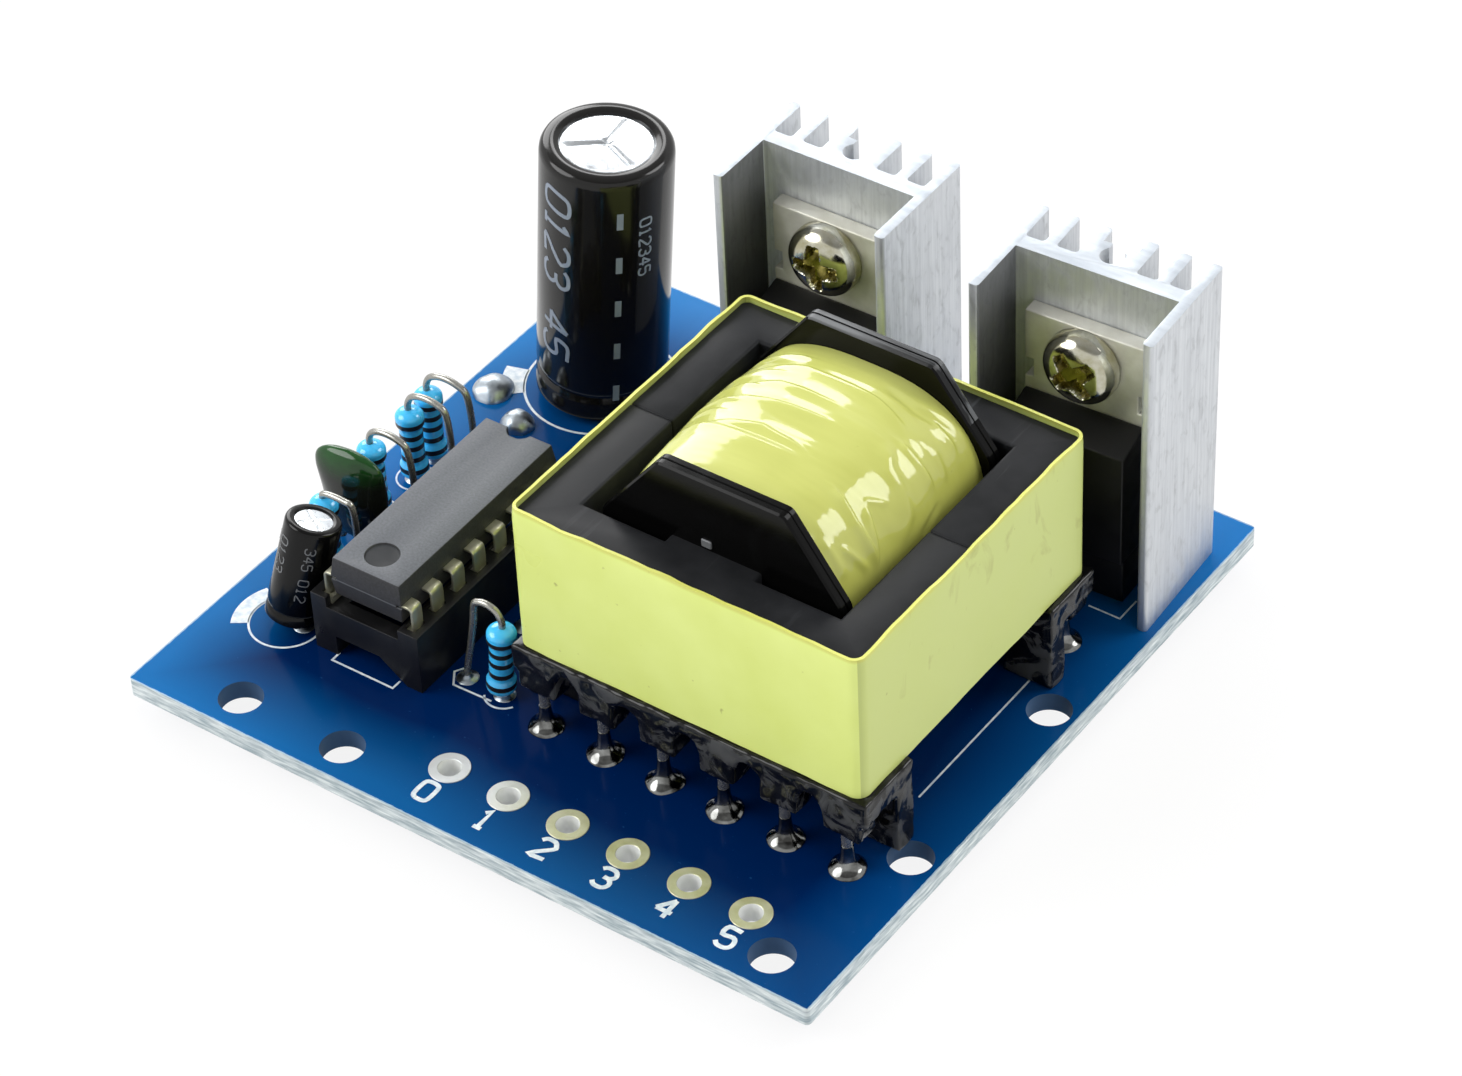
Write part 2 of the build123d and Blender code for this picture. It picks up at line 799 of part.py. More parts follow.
def screw():
    # pan head facing -Y, cross recess, plain shank
    head_radius = screw_head_diameter / 2
    tall = screw_head_height
    shank = screw_diameter / 2
    long = screw_length
    profile = [(0, -long), (shank, -long), (shank, 0), (head_radius, 0), (head_radius, 0.6 * tall)]
    profile += [(0.86 * head_radius, 0.88 * tall), (0.5 * head_radius, tall), (0, tall)]
    body = turned(profile)
    for angle in (20, 110):
        slot = Rot(0, 0, angle) * Box(3.4, 0.75, 2.0)
        body -= Pos(0, 0, tall) * slot
    return Rot(90, 0, 0) * body


def make_screws():
    y = sink_web_front - tab_thickness
    return [cooler_place(c) * Pos(transistor_x, y, screw_height) * screw() for c in coolers]


def make_input_joints():
    joints = []
    for x, y, radius in input_joints:
        tall = input_joint_height
        profile = [(0, 0), (radius, 0), (radius * 0.95, 0.3 * tall), (radius * 0.75, 0.65 * tall)]
        profile += [(radius * 0.4, 0.9 * tall), (0, tall)]
        joints.append(on_board(x, y) * turned(profile))
    return joints


def save(name, shapes):
    solids = []
    for shape in shapes if isinstance(shapes, (list, tuple)) else [shapes]:
        solids.extend(shape.solids())
    whole = solids[0] if len(solids) == 1 else Compound(children=solids)
    whole.label = name
    export_step(whole, os.path.join("parts", name + ".step"))


def build_all():
    nodes = {"circuit_board": make_board(), "output_pads": make_pads()}
    nodes["ferrite_core_front"] = core_half(-1)
    nodes["ferrite_core_rear"] = core_half(1)
    nodes["core_tape"] = make_core_tape()
    nodes["transformer_bobbin"] = make_bobbin()
    primary, secondary, tape = make_windings()
    nodes["primary_winding"] = primary
    nodes["secondary_winding"] = secondary
    nodes["winding_tape"] = tape
    nodes["transformer_pins"] = make_pins()
    nodes["transformer_solder"] = make_transformer_solder()
    for name, parts in (("main_capacitor", make_main_cap()), ("small_capacitor", make_small_cap())):
        for piece, shape in zip(("can", "sleeve", "bung", "leads"), parts):
            nodes[name + "_" + piece] = shape
    nodes["chip_body"], nodes["chip_leads"] = make_chip()
    nodes["chip_socket"], nodes["socket_contacts"] = make_socket()
    bodies, leads = make_resistors()
    nodes["resistor_bodies"] = bodies
    nodes["resistor_lower_leads"] = [pair[0] for pair in leads]
    for number, pair in enumerate(leads):
        nodes["resistor_loop_lead_" + str(number + 1)] = pair[1]
    nodes["film_capacitor_body"], nodes["film_capacitor_leads"] = make_film_cap()
    for side, cooler in zip(("left", "right"), coolers):
        nodes["heatsink_" + side] = make_sink(cooler)
        parts = make_transistor(cooler)
        for piece, shape in zip(("tab", "case", "leads", "spacer"), parts):
            nodes["transistor_" + side + "_" + piece] = shape
    nodes["heatsink_pins"] = make_sink_pins()
    nodes["heatsink_screws"] = make_screws()
    nodes["input_solder"] = make_input_joints()
    nodes["underside_solder"] = make_underside_solder()
    nodes["underside_flat_solder"] = make_flat_solder()
    return nodes


os.makedirs("parts", exist_ok=True)
for node_name, node_shapes in build_all().items():
    save(node_name, node_shapes)
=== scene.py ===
from math import ceil, copysign, cos, degrees, exp, hypot, pi, radians, sin, sqrt, tan
import bmesh
import bpy
from mathutils import Matrix, Quaternion, Vector, noise


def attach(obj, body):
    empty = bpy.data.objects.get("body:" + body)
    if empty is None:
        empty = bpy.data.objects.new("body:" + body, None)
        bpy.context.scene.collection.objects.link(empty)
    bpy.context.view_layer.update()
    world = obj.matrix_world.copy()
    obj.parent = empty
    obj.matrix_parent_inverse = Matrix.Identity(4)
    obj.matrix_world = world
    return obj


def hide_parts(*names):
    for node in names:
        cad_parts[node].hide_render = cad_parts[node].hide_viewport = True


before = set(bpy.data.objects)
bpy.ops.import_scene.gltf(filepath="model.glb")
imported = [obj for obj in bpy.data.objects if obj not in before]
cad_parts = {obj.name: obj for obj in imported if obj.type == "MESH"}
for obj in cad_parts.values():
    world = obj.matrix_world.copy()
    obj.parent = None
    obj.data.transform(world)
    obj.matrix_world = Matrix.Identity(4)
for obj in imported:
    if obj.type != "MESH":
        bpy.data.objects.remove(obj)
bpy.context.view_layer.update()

# sizes in mm, turned into metres where a mesh is made
MM = 0.001
BOARD_HALF = (30.25, 29.5)
BOARD_UNDER, BOARD_TOP = 1.8, 3.4
XF_X, XF_Y = 11.75, -2.87
CORE_MID = BOARD_TOP + 13.9
HALF_WINDING = 8.75
PIN_X = [-13.125 + 5.25 * i for i in range(6)]
PIN_ROW = 13.93
INK_THICK = 0.03
PADS = [(-4.53 + 5.27 * i, -24.13) for i in range(6)]
# side, x, y, turn of the heatsink and turn of its screw in degrees
COOLERS = (("left", -0.75, 20.35, 0.8, 4), ("right", 21.75, 19.9, 3.0, 38))
TRANSISTOR_X = -0.1
WEB_FRONT = 0.2
TAB_THICK = 1.3
SCREW_H = 19.5
# x, y, height and turn in degrees
CHIP = (-16.05, -9.0, BOARD_TOP, 0.8)
CHIP_PARTING = 7.05
# x, y, diameter, height, lean towards +X and +Y in degrees, gap under the sleeve
MAIN_CAP = (-21.1, 16.57, 10.3, 23.6, 4.2, 1.3, 0.42)
SMALL_CAP = (-23.93, -18.01, 4.3, 8.5, 7.8, 15.8, 0.75)
# body x and y, lead x and y, rise of the loop, lean of the body in degrees towards +X, sway of the lead's top
RESISTORS = (
    (-25.45, -11.7, -22.6, -11.7, 0.55, 0, 0),
    (-26.4, -4.9, -22.6, -4.9, 1.7, 0, 0),
    (-26.45, -0.2, -22.6, -0.2, 1.8, 0, 0),
    (-26.7, 2.4, -22.6, 2.4, 1.9, 0, 0),
    (-5.9, -15.85, -9.3, -15.85, 1.6, 5, 1.15),
    (-5.6, -9.2, -9.2, -9.2, 1.7, 0, 0.5),
)
# x, y, height and turn in degrees
FILM = (-25.6, -8.3, BOARD_TOP + 1.0, 3.0)
# x, y, radius, height
INPUT_JOINTS = ((-27.75, 11.3, 1.65, 1.25), (-23.7, 9.0, 1.35, 1.25))


# materials

def linear(color):
    # display colour, six hex digits, turned to linear light
    shares = [int(color[i:i + 2], 16) / 255 for i in (0, 2, 4)]
    return (*(s / 12.92 if s <= 0.04045 else ((s + 0.055) / 1.055) ** 2.4 for s in shares), 1.0)


class Tree:
    # builds shader nodes; each method gives the socket that carries its result
    def __init__(self, tree):
        self.tree = tree

    def put(self, node, key, value):
        # a socket is linked, a colour or any other value is set
        if isinstance(value, bpy.types.NodeSocket):
            self.tree.links.new(value, node.inputs[key])
        else:
            node.inputs[key].default_value = linear(value) if isinstance(value, str) else value

    def make(self, kind, out, inputs, **settings):
        made = self.tree.nodes.new("ShaderNode" + kind)
        for key, value in settings.items():
            setattr(made, key, value)
        for key, value in inputs.items():
            self.put(made, key, value)
        return made.outputs[out]

    def math(self, kind, *values):
        return self.make("Math", 0, dict(enumerate(values)), operation=kind)

    def times(self, a, b):
        return self.math("MULTIPLY", a, b)

    def over(self, a, b):
        return self.math("GREATER_THAN", a, b)

    def under(self, a, b):
        return self.math("LESS_THAN", a, b)

    def span(self, value, low, high, to_low=0.0, to_high=1.0):
        inputs = {"Value": value, "From Min": low, "From Max": high, "To Min": to_low, "To Max": to_high}
        return self.make("MapRange", "Result", inputs)

    def rays(self, *kinds):
        # 1 for the kinds of ray named, 0 for the others
        seen = 0.0
        for kind in kinds:
            seen = self.math("MAXIMUM", seen, self.make("LightPath", "Is %s Ray" % kind, {}))
        return seen


class Material(Tree):
    # one Principled material with its pattern fixed to the object
    def __init__(self, name, color, rough, metal=0.0, spec=0.5):
        self.mat = bpy.data.materials.new(name)
        self.mat.use_nodes = True
        super().__init__(self.mat.node_tree)
        self.shader = self.tree.nodes["Principled BSDF"]
        keys = ("Base Color", "Roughness", "Metallic", "Specular IOR Level")
        for key, value in zip(keys, (color, rough, metal, spec)):
            self.put(self.shader, key, value)
        self.coords = self.make("TexCoord", "Object", {})

    def axis(self, which):
        return self.make("SeparateXYZ", which, {0: self.coords})

    def facing(self, which):
        return self.make("SeparateXYZ", which, {0: self.make("NewGeometry", "Normal", {})})

    def noise(self, scale, detail=3.0, stretch=(1, 1, 1), turn=0.0, warp=0.0):
        inputs = {"Vector": self.coords, "Scale": stretch, "Rotation": (0, 0, turn)}
        spot = self.make("Mapping", "Vector", inputs)
        inputs = {"Vector": spot, "Scale": scale, "Detail": detail, "Roughness": 0.55, "Distortion": warp}
        return self.make("TexNoise", "Fac", inputs)

    def mix(self, factor, a, b):
        return self.make("Mix", 2, {0: factor, 6: a, 7: b}, data_type="RGBA")

    def vary(self, value, low, high, start=0.3, end=0.7):
        # runs from low to high, two colours or two numbers, as the value goes from start to end
        if isinstance(low, str):
            return self.mix(self.span(value, start, end), low, high)
        return self.span(value, start, end, low, high)

    def spots(self, base, value, start, end, amount, color):
        # lays a colour over the base where the value is high
        return self.mix(self.span(value, start, end, 0, amount), base, color)

    def finish(self, color, rough, *bumps):
        # bumps are stacked; each is height, strength, distance in mm
        self.put(self.shader, "Base Color", color)
        self.put(self.shader, "Roughness", rough)
        below = {}
        for height, strength, distance in bumps:
            inputs = {"Height": height, "Strength": strength, "Distance": distance * MM, **below}
            below = {"Normal": self.make("Bump", "Normal", inputs)}
        self.put(self.shader, "Normal", below["Normal"])
        return self.mat


def board_material():
    # blue lacquer, paler towards the back left corner and the edges as painted light (a painted reflection of
    # the white backdrop and of light through the edges); streaky glass fibre outside
    m = Material("board_lacquer", "05306c", 0.12, spec=0.055)
    cloud = m.noise(55, 2.0)
    gaps = [m.math("SUBTRACT", half * MM, m.math("ABSOLUTE", m.axis(i))) for i, half in enumerate(BOARD_HALF)]
    near = m.math("MINIMUM", *gaps)
    loose = m.math("ADD", near, m.span(cloud, 0.2, 0.8, -0.0015, 0.0015))
    toward_lit_corner = m.math("SUBTRACT", m.times(m.axis(1), 0.45), m.axis(0))
    # painted light: a dim middle and lit edges, brighter towards the back left
    inner = m.vary(toward_lit_corner, "001f50", "085aa0", 0.014, 0.046)
    outer = m.vary(toward_lit_corner, "043a72", "0c6cb0", -0.045, 0.040)
    blue = m.mix(m.span(loose, 0.0005, 0.0075, 1.0, 0.0), inner, outer)
    # painted reflection of the backdrop on the back left corner
    corner = m.times(m.span(m.axis(1), 14 * MM, 28 * MM, 0, 0.7), m.span(m.axis(0), 0, 24 * MM))
    blue = m.mix(corner, blue, "1678c4")
    blue = m.spots(blue, m.noise(2600, 2.0), 0.72, 0.78, 0.2, "3c6eaa")
    weave = m.noise(500, 4.0, stretch=(1, 1, 9))
    fibre = m.vary(weave, "96a5ac", "e2e8e8", 0.35, 0.7)
    wall = m.mix(m.under(near, 0.3 * MM), "425c7c", fibre)
    flat = m.over(m.math("ABSOLUTE", m.facing(2)), 0.6)
    chipped = m.math("SUBTRACT", near, m.times(m.noise(1500), 0.14 * MM))
    rim = m.times(m.under(chipped, 0.04 * MM), 0.75)
    color = m.mix(flat, wall, m.mix(rim, blue, "b0c8d6"))
    rough = m.mix(flat, (0.5, 0.5, 0.5, 1), m.vary(cloud, 0.1, 0.18))
    ripple = m.noise(3000, 2.0, stretch=(1, 1, 6))
    return m.finish(color, rough, (m.noise(260, 2.0), 0.08, 0.02), (ripple, 0.04, 0.02))


def plated(name, color, dark, rough, scale, metal=1.0, bump=0.25, vary=1.0):
    # plated or tinned metal with soft tone changes
    m = Material(name, color, rough, metal)
    blend = m.vary(m.noise(scale, 4.0), dark, color, 0.35, 0.7)
    dull = m.vary(m.noise(scale * 2.3), rough * (1 - 0.3 * vary), rough * (1 + 0.5 * vary))
    return m.finish(blend, dull, (m.noise(scale * 1.6), bump, 0.03))


def aluminium_material(side, middle, web):
    # mill-finish extrusion: streaks along Z with small dull flecks; painted shade darkens the left wall of
    # its channel, most towards the bottom
    m = Material("extruded_aluminium_" + side, "bec1c5", 0.5, 0.8)
    streak = m.noise(3500, 4.0, stretch=(1, 1, 0.03))
    fleck = m.noise(1500, 5.0, stretch=(1, 1, 0.45), warp=0.6)
    bright = m.vary(streak, "c2c5c9", "d6d9dc")
    bright = m.spots(bright, fleck, 0.54, 0.72, 0.45, "a6a8aa")
    # painted shade on the left wall of the channel
    wall = m.times(m.over(m.facing(0), 0.7), m.under(m.axis(0), middle * MM))
    wall = m.times(wall, m.under(m.axis(1), web * MM))
    painted_wall_shade = m.times(wall, m.span(m.axis(2), 20 * MM, 30 * MM, 0.92, 0.7))
    bright = m.mix(painted_wall_shade, bright, "424343")
    saw = m.noise(1200, stretch=(0.12, 1, 1), turn=0.6)
    end = m.vary(saw, "b2b9c1", "ccd2d8")
    color = m.mix(m.over(m.facing(2), 0.7), bright, end)
    return m.finish(color, m.vary(fleck, 0.42, 0.6), (streak, 0.1, 0.02), (fleck, 0.12, 0.015))


def ferrite_material():
    # dense black ceramic, ground smooth, with fine scratches
    m = Material("ferrite", "222324", 0.4, spec=0.1)
    tone = m.noise(350, 4.0)
    scratch = m.noise(620, 5.0, stretch=(1, 0.1, 1), turn=0.9, warp=1.2)
    second = m.noise(760, 5.0, stretch=(0.1, 1, 1), turn=0.35, warp=1.0)
    base = m.vary(tone, "1d1e20", "28292b")
    base = m.spots(base, scratch, 0.62, 0.74, 0.4, "484a4d")
    base = m.spots(base, second, 0.68, 0.75, 0.25, "46484b")
    return m.finish(base, m.vary(tone, 0.34, 0.46), (m.noise(5200), 0.14, 0.012), (tone, 0.1, 0.015))


def tape_material():
    # satin film with a few specks and rubbed stains; its right side is darker, a painted shade
    m = Material("core_tape_film", "deea8c", 0.32, spec=0.4)
    tone = m.noise(120)
    base = m.vary(tone, "d6e27a", "deea8a")
    # the right side: painted shade there, and where the stains lie
    side = m.over(m.facing(0), 0.7)
    base = m.mix(m.times(side, 0.9), base, "b4be70")
    stain = m.noise(330, 5.0, stretch=(1, 1.4, 0.6), warp=0.8)
    base = m.mix(m.times(m.span(stain, 0.62, 0.76, 0, 0.55), side), base, "8c8642")
    base = m.spots(base, m.noise(900, 2.0), 0.74, 0.79, 0.5, "787032")
    base = m.spots(base, m.axis(2), 23.35 * MM, 23.6 * MM, 0.55, "c4be46")
    rough = m.vary(tone, 0.26, 0.4)
    return m.finish(base, rough, (m.noise(160, 2.0), 0.2, 0.1), (m.noise(2600), 0.08, 0.015))


def winding_tape_material():
    # glossy clear film over pale yellow; its right side is painted more olive and darker as shade
    m = Material("winding_tape_film", "d4da78", 0.08, spec=0.6)
    tone = m.noise(90, stretch=(0.6, 2.2, 0.6))
    base = m.vary(tone, "b8bc62", "c5c972")
    # painted shade: darker olive on the side facing +X
    base = m.spots(base, m.facing(0), 0.2, 0.85, 0.45, "acac44")
    base = m.spots(base, m.noise(650, 2.0), 0.76, 0.8, 0.5, "6e6c28")
    pull = m.noise(380, 2.0, stretch=(0.35, 2.2, 0.35), warp=0.3)
    return m.finish(base, m.vary(tone, 0.06, 0.14), (pull, 0.17, 0.05), (m.noise(1500, 2.0), 0.05, 0.02))


def moulded(name, color, light, rough, grain, spec=0.5, bump=0.2, depth=0.02, worn=0.25):
    # moulded plastic with grain and a few paler rubs
    m = Material(name, color, rough, spec=spec)
    rub = m.noise(260, 5.0, warp=1.0)
    dull = m.span(rub, 0.3, 0.75, rough * 0.85, min(1.0, rough * 1.6))
    return m.finish(m.spots(color, rub, 0.58, 0.78, worn, light), dull, (m.noise(grain), bump, depth))


def chip_material():
    # fine-grained moulding, painted lighter on top and darker on its sides as light and shade, with a pale
    # line on the front where its halves met, partly a painted highlight along that edge
    m = Material("chip_moulding", "505358", 0.5, spec=0.31)
    grain = m.noise(5200)
    # lit and shaded copies: a painted sheen on top, painted shade on the sides
    top = m.vary(grain, "4c4f55", "5c5f65")
    side = m.vary(grain, "2a2a2b", "373739")
    parting = m.math("ABSOLUTE", m.math("SUBTRACT", m.axis(2), (BOARD_TOP + CHIP_PARTING) * MM))
    parting_flash_and_highlight = m.times(m.under(parting, 0.06 * MM), m.under(m.facing(1), -0.5))
    side = m.mix(m.times(parting_flash_and_highlight, 0.8), side, "5c5e61")
    color = m.mix(m.over(m.facing(2), 0.8), side, top)
    return m.finish(color, m.vary(grain, 0.4, 0.5), (grain, 0.4, 0.025))


def bobbin_material():
    # glossy black moulding, with painted highlight streaks on the level top of the rear cheek
    black = "080808"
    m = Material("bobbin_moulding", black, 0.12, spec=0.11)
    rub = m.noise(260, 5.0, warp=1.0)
    base = m.spots(black, rub, 0.58, 0.78, 0.4, "121314")
    # painted highlight: pale streaks on the rear cheek's level top
    level = m.times(m.over(m.facing(2), 0.6), m.over(m.axis(1), XF_Y * MM))
    streak = m.span(m.noise(420, stretch=(0.12, 2.5, 1), warp=0.3), 0.46, 0.6, 0.12, 1.0)
    color = m.mix(m.times(level, streak), base, "626466")
    return m.finish(color, m.span(rub, 0.3, 0.75, 0.1, 0.19), (m.noise(500), 0.06, 0.03))


def varnish_material():
    # black moulding melted over by varnish, rubbed grey on the faces that stand upright
    black = "0b0b0c"
    m = Material("bobbin_varnish", black, 0.16, spec=0.3)
    upright = m.under(m.math("ABSOLUTE", m.facing(2)), 0.45)
    scuff = m.times(m.span(m.noise(420, 6.0, warp=1.4), 0.5, 0.61), upright)
    color = m.mix(m.times(scuff, 0.75), black, "4a4b4c")
    return m.finish(color, m.math("ADD", m.times(scuff, 0.3), 0.14), (m.noise(420), 0.16, 0.05))


def film_material():
    # glossy dip: painted light and shade, green where lit at the top, nearly black in shade below
    m = Material("film_dip", "0e3212", 0.1, spec=0.42)
    green = m.vary(m.noise(300), "103c12", "1c541e")
    # painted light and shade: lit green on top, shaded near-black below
    color = m.mix(m.span(m.axis(2), 9.8 * MM, 11.8 * MM), "191c17", green)
    return m.finish(color, m.vary(m.noise(500, 2.0), 0.07, 0.14), (m.noise(260, 2.0), 0.08, 0.05))


def pad_material():
    # tinned rings: greyer at the left end of the row, more yellow towards the right
    m = Material("pad_tin", "c4c7c8", 0.42, 0.7)
    tone = m.noise(700, 4.0)
    grey_tin = m.vary(tone, "c4c7c8", "d6d9da")
    yellow_tin = m.vary(tone, "bab894", "d4d4be")
    color = m.mix(m.span(m.axis(0), -1 * MM, 6 * MM), grey_tin, yellow_tin)
    return m.finish(color, m.vary(tone, 0.38, 0.52), (m.noise(1400), 0.06, 0.02))


def ink_material():
    m = Material("white_ink", "dee4e8", 0.5)
    color = m.vary(m.noise(1800), "beccd8", "ecf0f2", 0.35, 0.7)
    return m.finish(color, 0.5, (m.noise(4000, 2.0), 0.2, 0.01))


def solder_material(name, low, high, rough):
    m = Material(name, high, rough, 1.0)
    dull = m.vary(m.noise(1400), rough * 0.7, rough * 1.4)
    return m.finish(m.vary(m.noise(900), low, high), dull, (m.noise(1100, 2.0), 0.2, 0.05))


MAT = {
    "board": board_material(),
    "pad": pad_material(),
    # the bore's walls: tin painted near white, painted light on walls that lie in shade
    "bore": plated("pad_bore_tin", "f0f1f0", "e2e4e2", 0.4, 900, 0.15, bump=0.06),
    "ferrite": ferrite_material(),
    "tape": tape_material(),
    "winding": winding_tape_material(),
    "bobbin": bobbin_material(),
    "gate": moulded("bobbin_gate_mark", "787a7d", "a0a2a5", 0.35, 900, worn=0.5),
    "varnish": varnish_material(),
    "chip": chip_material(),
    "dimple": moulded("chip_dimple", "26282b", "343639", 0.5, 5200, spec=0.3, bump=0.3),
    "socket": moulded("socket_moulding", "131314", "262628", 0.32, 2200, 0.35, 0.1, worn=0.3),
    "case": moulded("case_moulding", "0c0c0c", "202020", 0.4, 4200, spec=0.3, worn=0.2),
    "sleeve": moulded("black_sleeve", "121110", "1b1a1a", 0.1, 260, 0.32, 0.05, 0.05, 0.3),
    "small_sleeve": moulded("small_sleeve", "070707", "0f0f10", 0.14, 260, 0.22, 0.05, 0.05, 0.3),
    "rubber": moulded("bung_rubber", "1e1e1e", "3c3c3c", 0.7, 2000, worn=0.4),
    "can": plated("bare_can", "e0e4e7", "ccd1d6", 0.25, 500, bump=0.06),
    "lead": plated("tinned_wire", "a6a59f", "96958f", 0.26, 900, 0.78, 0.02, 0.15),
    "chip_lead": plated("tinned_strip", "bab9a8", "a8a68e", 0.33, 500, 0.72, 0.02, 0.15),
    "solder": solder_material("solder_bright", "949ca3", "c0c8ce", 0.34),
    # the pins' solder painted darker than the other solder, as painted shade and dark reflections under the
    # transformer
    "pin_solder": solder_material("solder_dark", "3e3e3c", "8e8f8d", 0.12),
    "tab": plated("tab_plate", "e0dfd4", "cccabc", 0.48, 420, 0.6, 0.08, 0.4),
    "screw": plated("zinc_screw", "cecdc2", "a6a284", 0.14, 600, bump=0.1),
    # the recess painted darker than the head: painted shade in the hollow
    "recess": plated("zinc_screw_recess", "aaa05c", "786e36", 0.2, 700, bump=0.15),
    "blue": moulded("resistor_lacquer", "44c2ff", "6adaff", 0.09, 900, 0.7, 0.06, 0.03, 0.5),
    "band": moulded("resistor_band", "181414", "382c28", 0.3, 1400, worn=0.3),
    "green": film_material(),
    "copper": plated("enamelled_copper", "b86e3c", "8c4c24", 0.3, 900),
    "ink": ink_material(),
    "print": moulded("sleeve_print", "808a9a", "9ca6b4", 0.3, 1500, worn=0.4),
    "small_print": moulded("small_print", "686a6c", "828486", 0.3, 1500, worn=0.4),
}
for cooler_side, cooler_x, cooler_y, *_ in COOLERS:
    MAT["aluminium_" + cooler_side] = aluminium_material(cooler_side, cooler_x, cooler_y)


# numbers

def wave(x, y, z):
    # smooth noise, about -1 to 1
    return noise.noise(Vector((x, y, z)))


def clamp(value):
    return max(0.0, min(1.0, value))


def ease(value):
    # clamped to 0 to 1, with a soft start and end
    t = clamp(value)
    return t * t * (3 - 2 * t)


def smooth_box(value, low, high, soft):
    return ease(clamp((value - low) / soft + 0.5) * clamp((high - value) / soft + 0.5))


def circle(steps):
    # angle, cosine and sine of each step round a full turn
    turn = [2 * pi * i / steps for i in range(steps)]
    return [(a, cos(a), sin(a)) for a in turn]


def place(x, y, z, turn=0.0, lean_x=0.0, lean_y=0.0):
    # turn about Z, then a lean of so many degrees towards +X and +Y
    out = Matrix.Translation((x, y, z))
    for angle, axis in ((-lean_y, "X"), (lean_x, "Y"), (turn, "Z")):
        out = out @ Matrix.Rotation(radians(angle), 4, axis)
    return out


# objects

def add(name, data):
    made = bpy.data.objects.new(name, data)
    bpy.context.scene.collection.objects.link(made)
    return made


def dress(made, replaces=()):
    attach(made, "root")
    if replaces:
        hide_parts(*replaces)


def shade(mesh, angle):
    # smooth, but crisp at edges sharper than the angle
    mesh.polygons.foreach_set("use_smooth", [True] * len(mesh.polygons))
    mesh.set_sharp_from_angle(angle=radians(angle))
    mesh.update()


def piece(name, parts, replaces=(), angle=40):
    # parts: list of (verts in mm, faces, material key); makes one object on the body
    verts, faces, which, keys = [], [], [], []
    for part_verts, part_faces, key in parts:
        if key not in keys:
            keys.append(key)
        start = len(verts)
        faces += [[start + i for i in face] for face in part_faces]
        which += [keys.index(key)] * len(part_faces)
        verts += [Vector(v) * MM for v in part_verts]
    mesh = bpy.data.meshes.new(name)
    mesh.from_pydata(verts, [], faces)
    for key in keys:
        mesh.materials.append(MAT[key])
    mesh.polygons.foreach_set("material_index", which)
    work = bmesh.new()
    work.from_mesh(mesh)
    bmesh.ops.recalc_face_normals(work, faces=work.faces)
    work.to_mesh(mesh)
    work.free()
    shade(mesh, angle)
    dress(add(name, mesh), replaces)


def cover(mesh, key):
    mesh.materials.clear()
    mesh.materials.append(MAT[key])


def paint(node, key):
    cover(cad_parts[node].data, key)


def open_node(node):
    # a copy of a CAD node's mesh to work on, with its seams closed
    work = bmesh.new()
    work.from_mesh(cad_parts[node].data)
    bmesh.ops.remove_doubles(work, verts=work.verts, dist=0.002 * MM)
    return work


def close_skin(work, mesh, key, angle):
    # writes the work into a mesh of one material
    work.to_mesh(mesh)
    work.free()
    cover(mesh, key)
    mesh.polygons.foreach_set("material_index", [0] * len(mesh.polygons))
    shade(mesh, angle)


def soften(node, key, width, segments=2):
    # a CAD node's own form with its edges eased
    work = open_node(node)
    bmesh.ops.dissolve_limit(work, angle_limit=radians(1.0), verts=work.verts, edges=work.edges)
    limit = radians(30)
    edges = [e for e in work.edges if len(e.link_faces) == 2 and e.calc_face_angle(0) > limit]
    bmesh.ops.bevel(work, geom=edges, offset=width * MM, segments=segments, profile=0.6, affect="EDGES",
                    clamp_overlap=True)
    mesh = bpy.data.meshes.new(node + "_eased")
    close_skin(work, mesh, key, 35)
    dress(add(mesh.name, mesh), (node,))


# parts of a mesh: vertices in mm, faces, material key

def moved(part, matrix):
    verts, faces, key = part
    return [matrix @ Vector(v) for v in verts], faces, key


def rings(stack, key, close_low=True, close_high=True):
    # joins closed rings of equal length into a skin
    count = len(stack[0])
    faces = []
    for r in range(len(stack) - 1):
        for i in range(count):
            j = (i + 1) % count
            a, b = r * count, (r + 1) * count
            faces.append((a + i, a + j, b + j, b + i))
    if close_low:
        faces.append(tuple(range(count - 1, -1, -1)))
    if close_high:
        last = (len(stack) - 1) * count
        faces.append(tuple(range(last, last + count)))
    return [v for ring in stack for v in ring], faces, key


def lathe(profile, key, steps=48, wobble=None, closed=True):
    # profile of (radius, height); wobble(angle, radius, height) gives a new radius
    stack = []
    for r, z in profile:
        radii = [wobble(a, r, z) if wobble else r for a, _, _ in circle(steps)]
        stack.append([(radius * c, radius * s, z) for radius, (_, c, s) in zip(radii, circle(steps))])
    return rings(stack, key, closed, closed)


def uneven(seed, amount, pitch, rise):
    # wobble that drifts round the piece and upwards
    def wobble(a, r, z):
        return r * (1 + amount * wave(cos(a) * pitch + seed, sin(a) * pitch, z * rise))
    return wobble


def smooth_path(points, per_span):
    # Catmull-Rom through the given points
    pts = [Vector(p) for p in points]
    pts = [2 * pts[0] - pts[1]] + pts + [2 * pts[-1] - pts[-2]]
    out = []
    for p0, p1, p2, p3 in zip(pts, pts[1:], pts[2:], pts[3:]):
        for s in range(per_span):
            t = s / per_span
            a = 2 * p1 + (p2 - p0) * t
            b = (2 * p0 - 5 * p1 + 4 * p2 - p3) * t * t
            c = (3 * p1 - p0 - 3 * p2 + p3) * t ** 3
            out.append((a + b + c) / 2)
    return out + [pts[-2]]


def heading(path, i):
    # direction of a path at its point i
    return (path[min(i + 1, len(path) - 1)] - path[max(i - 1, 0)]).normalized()


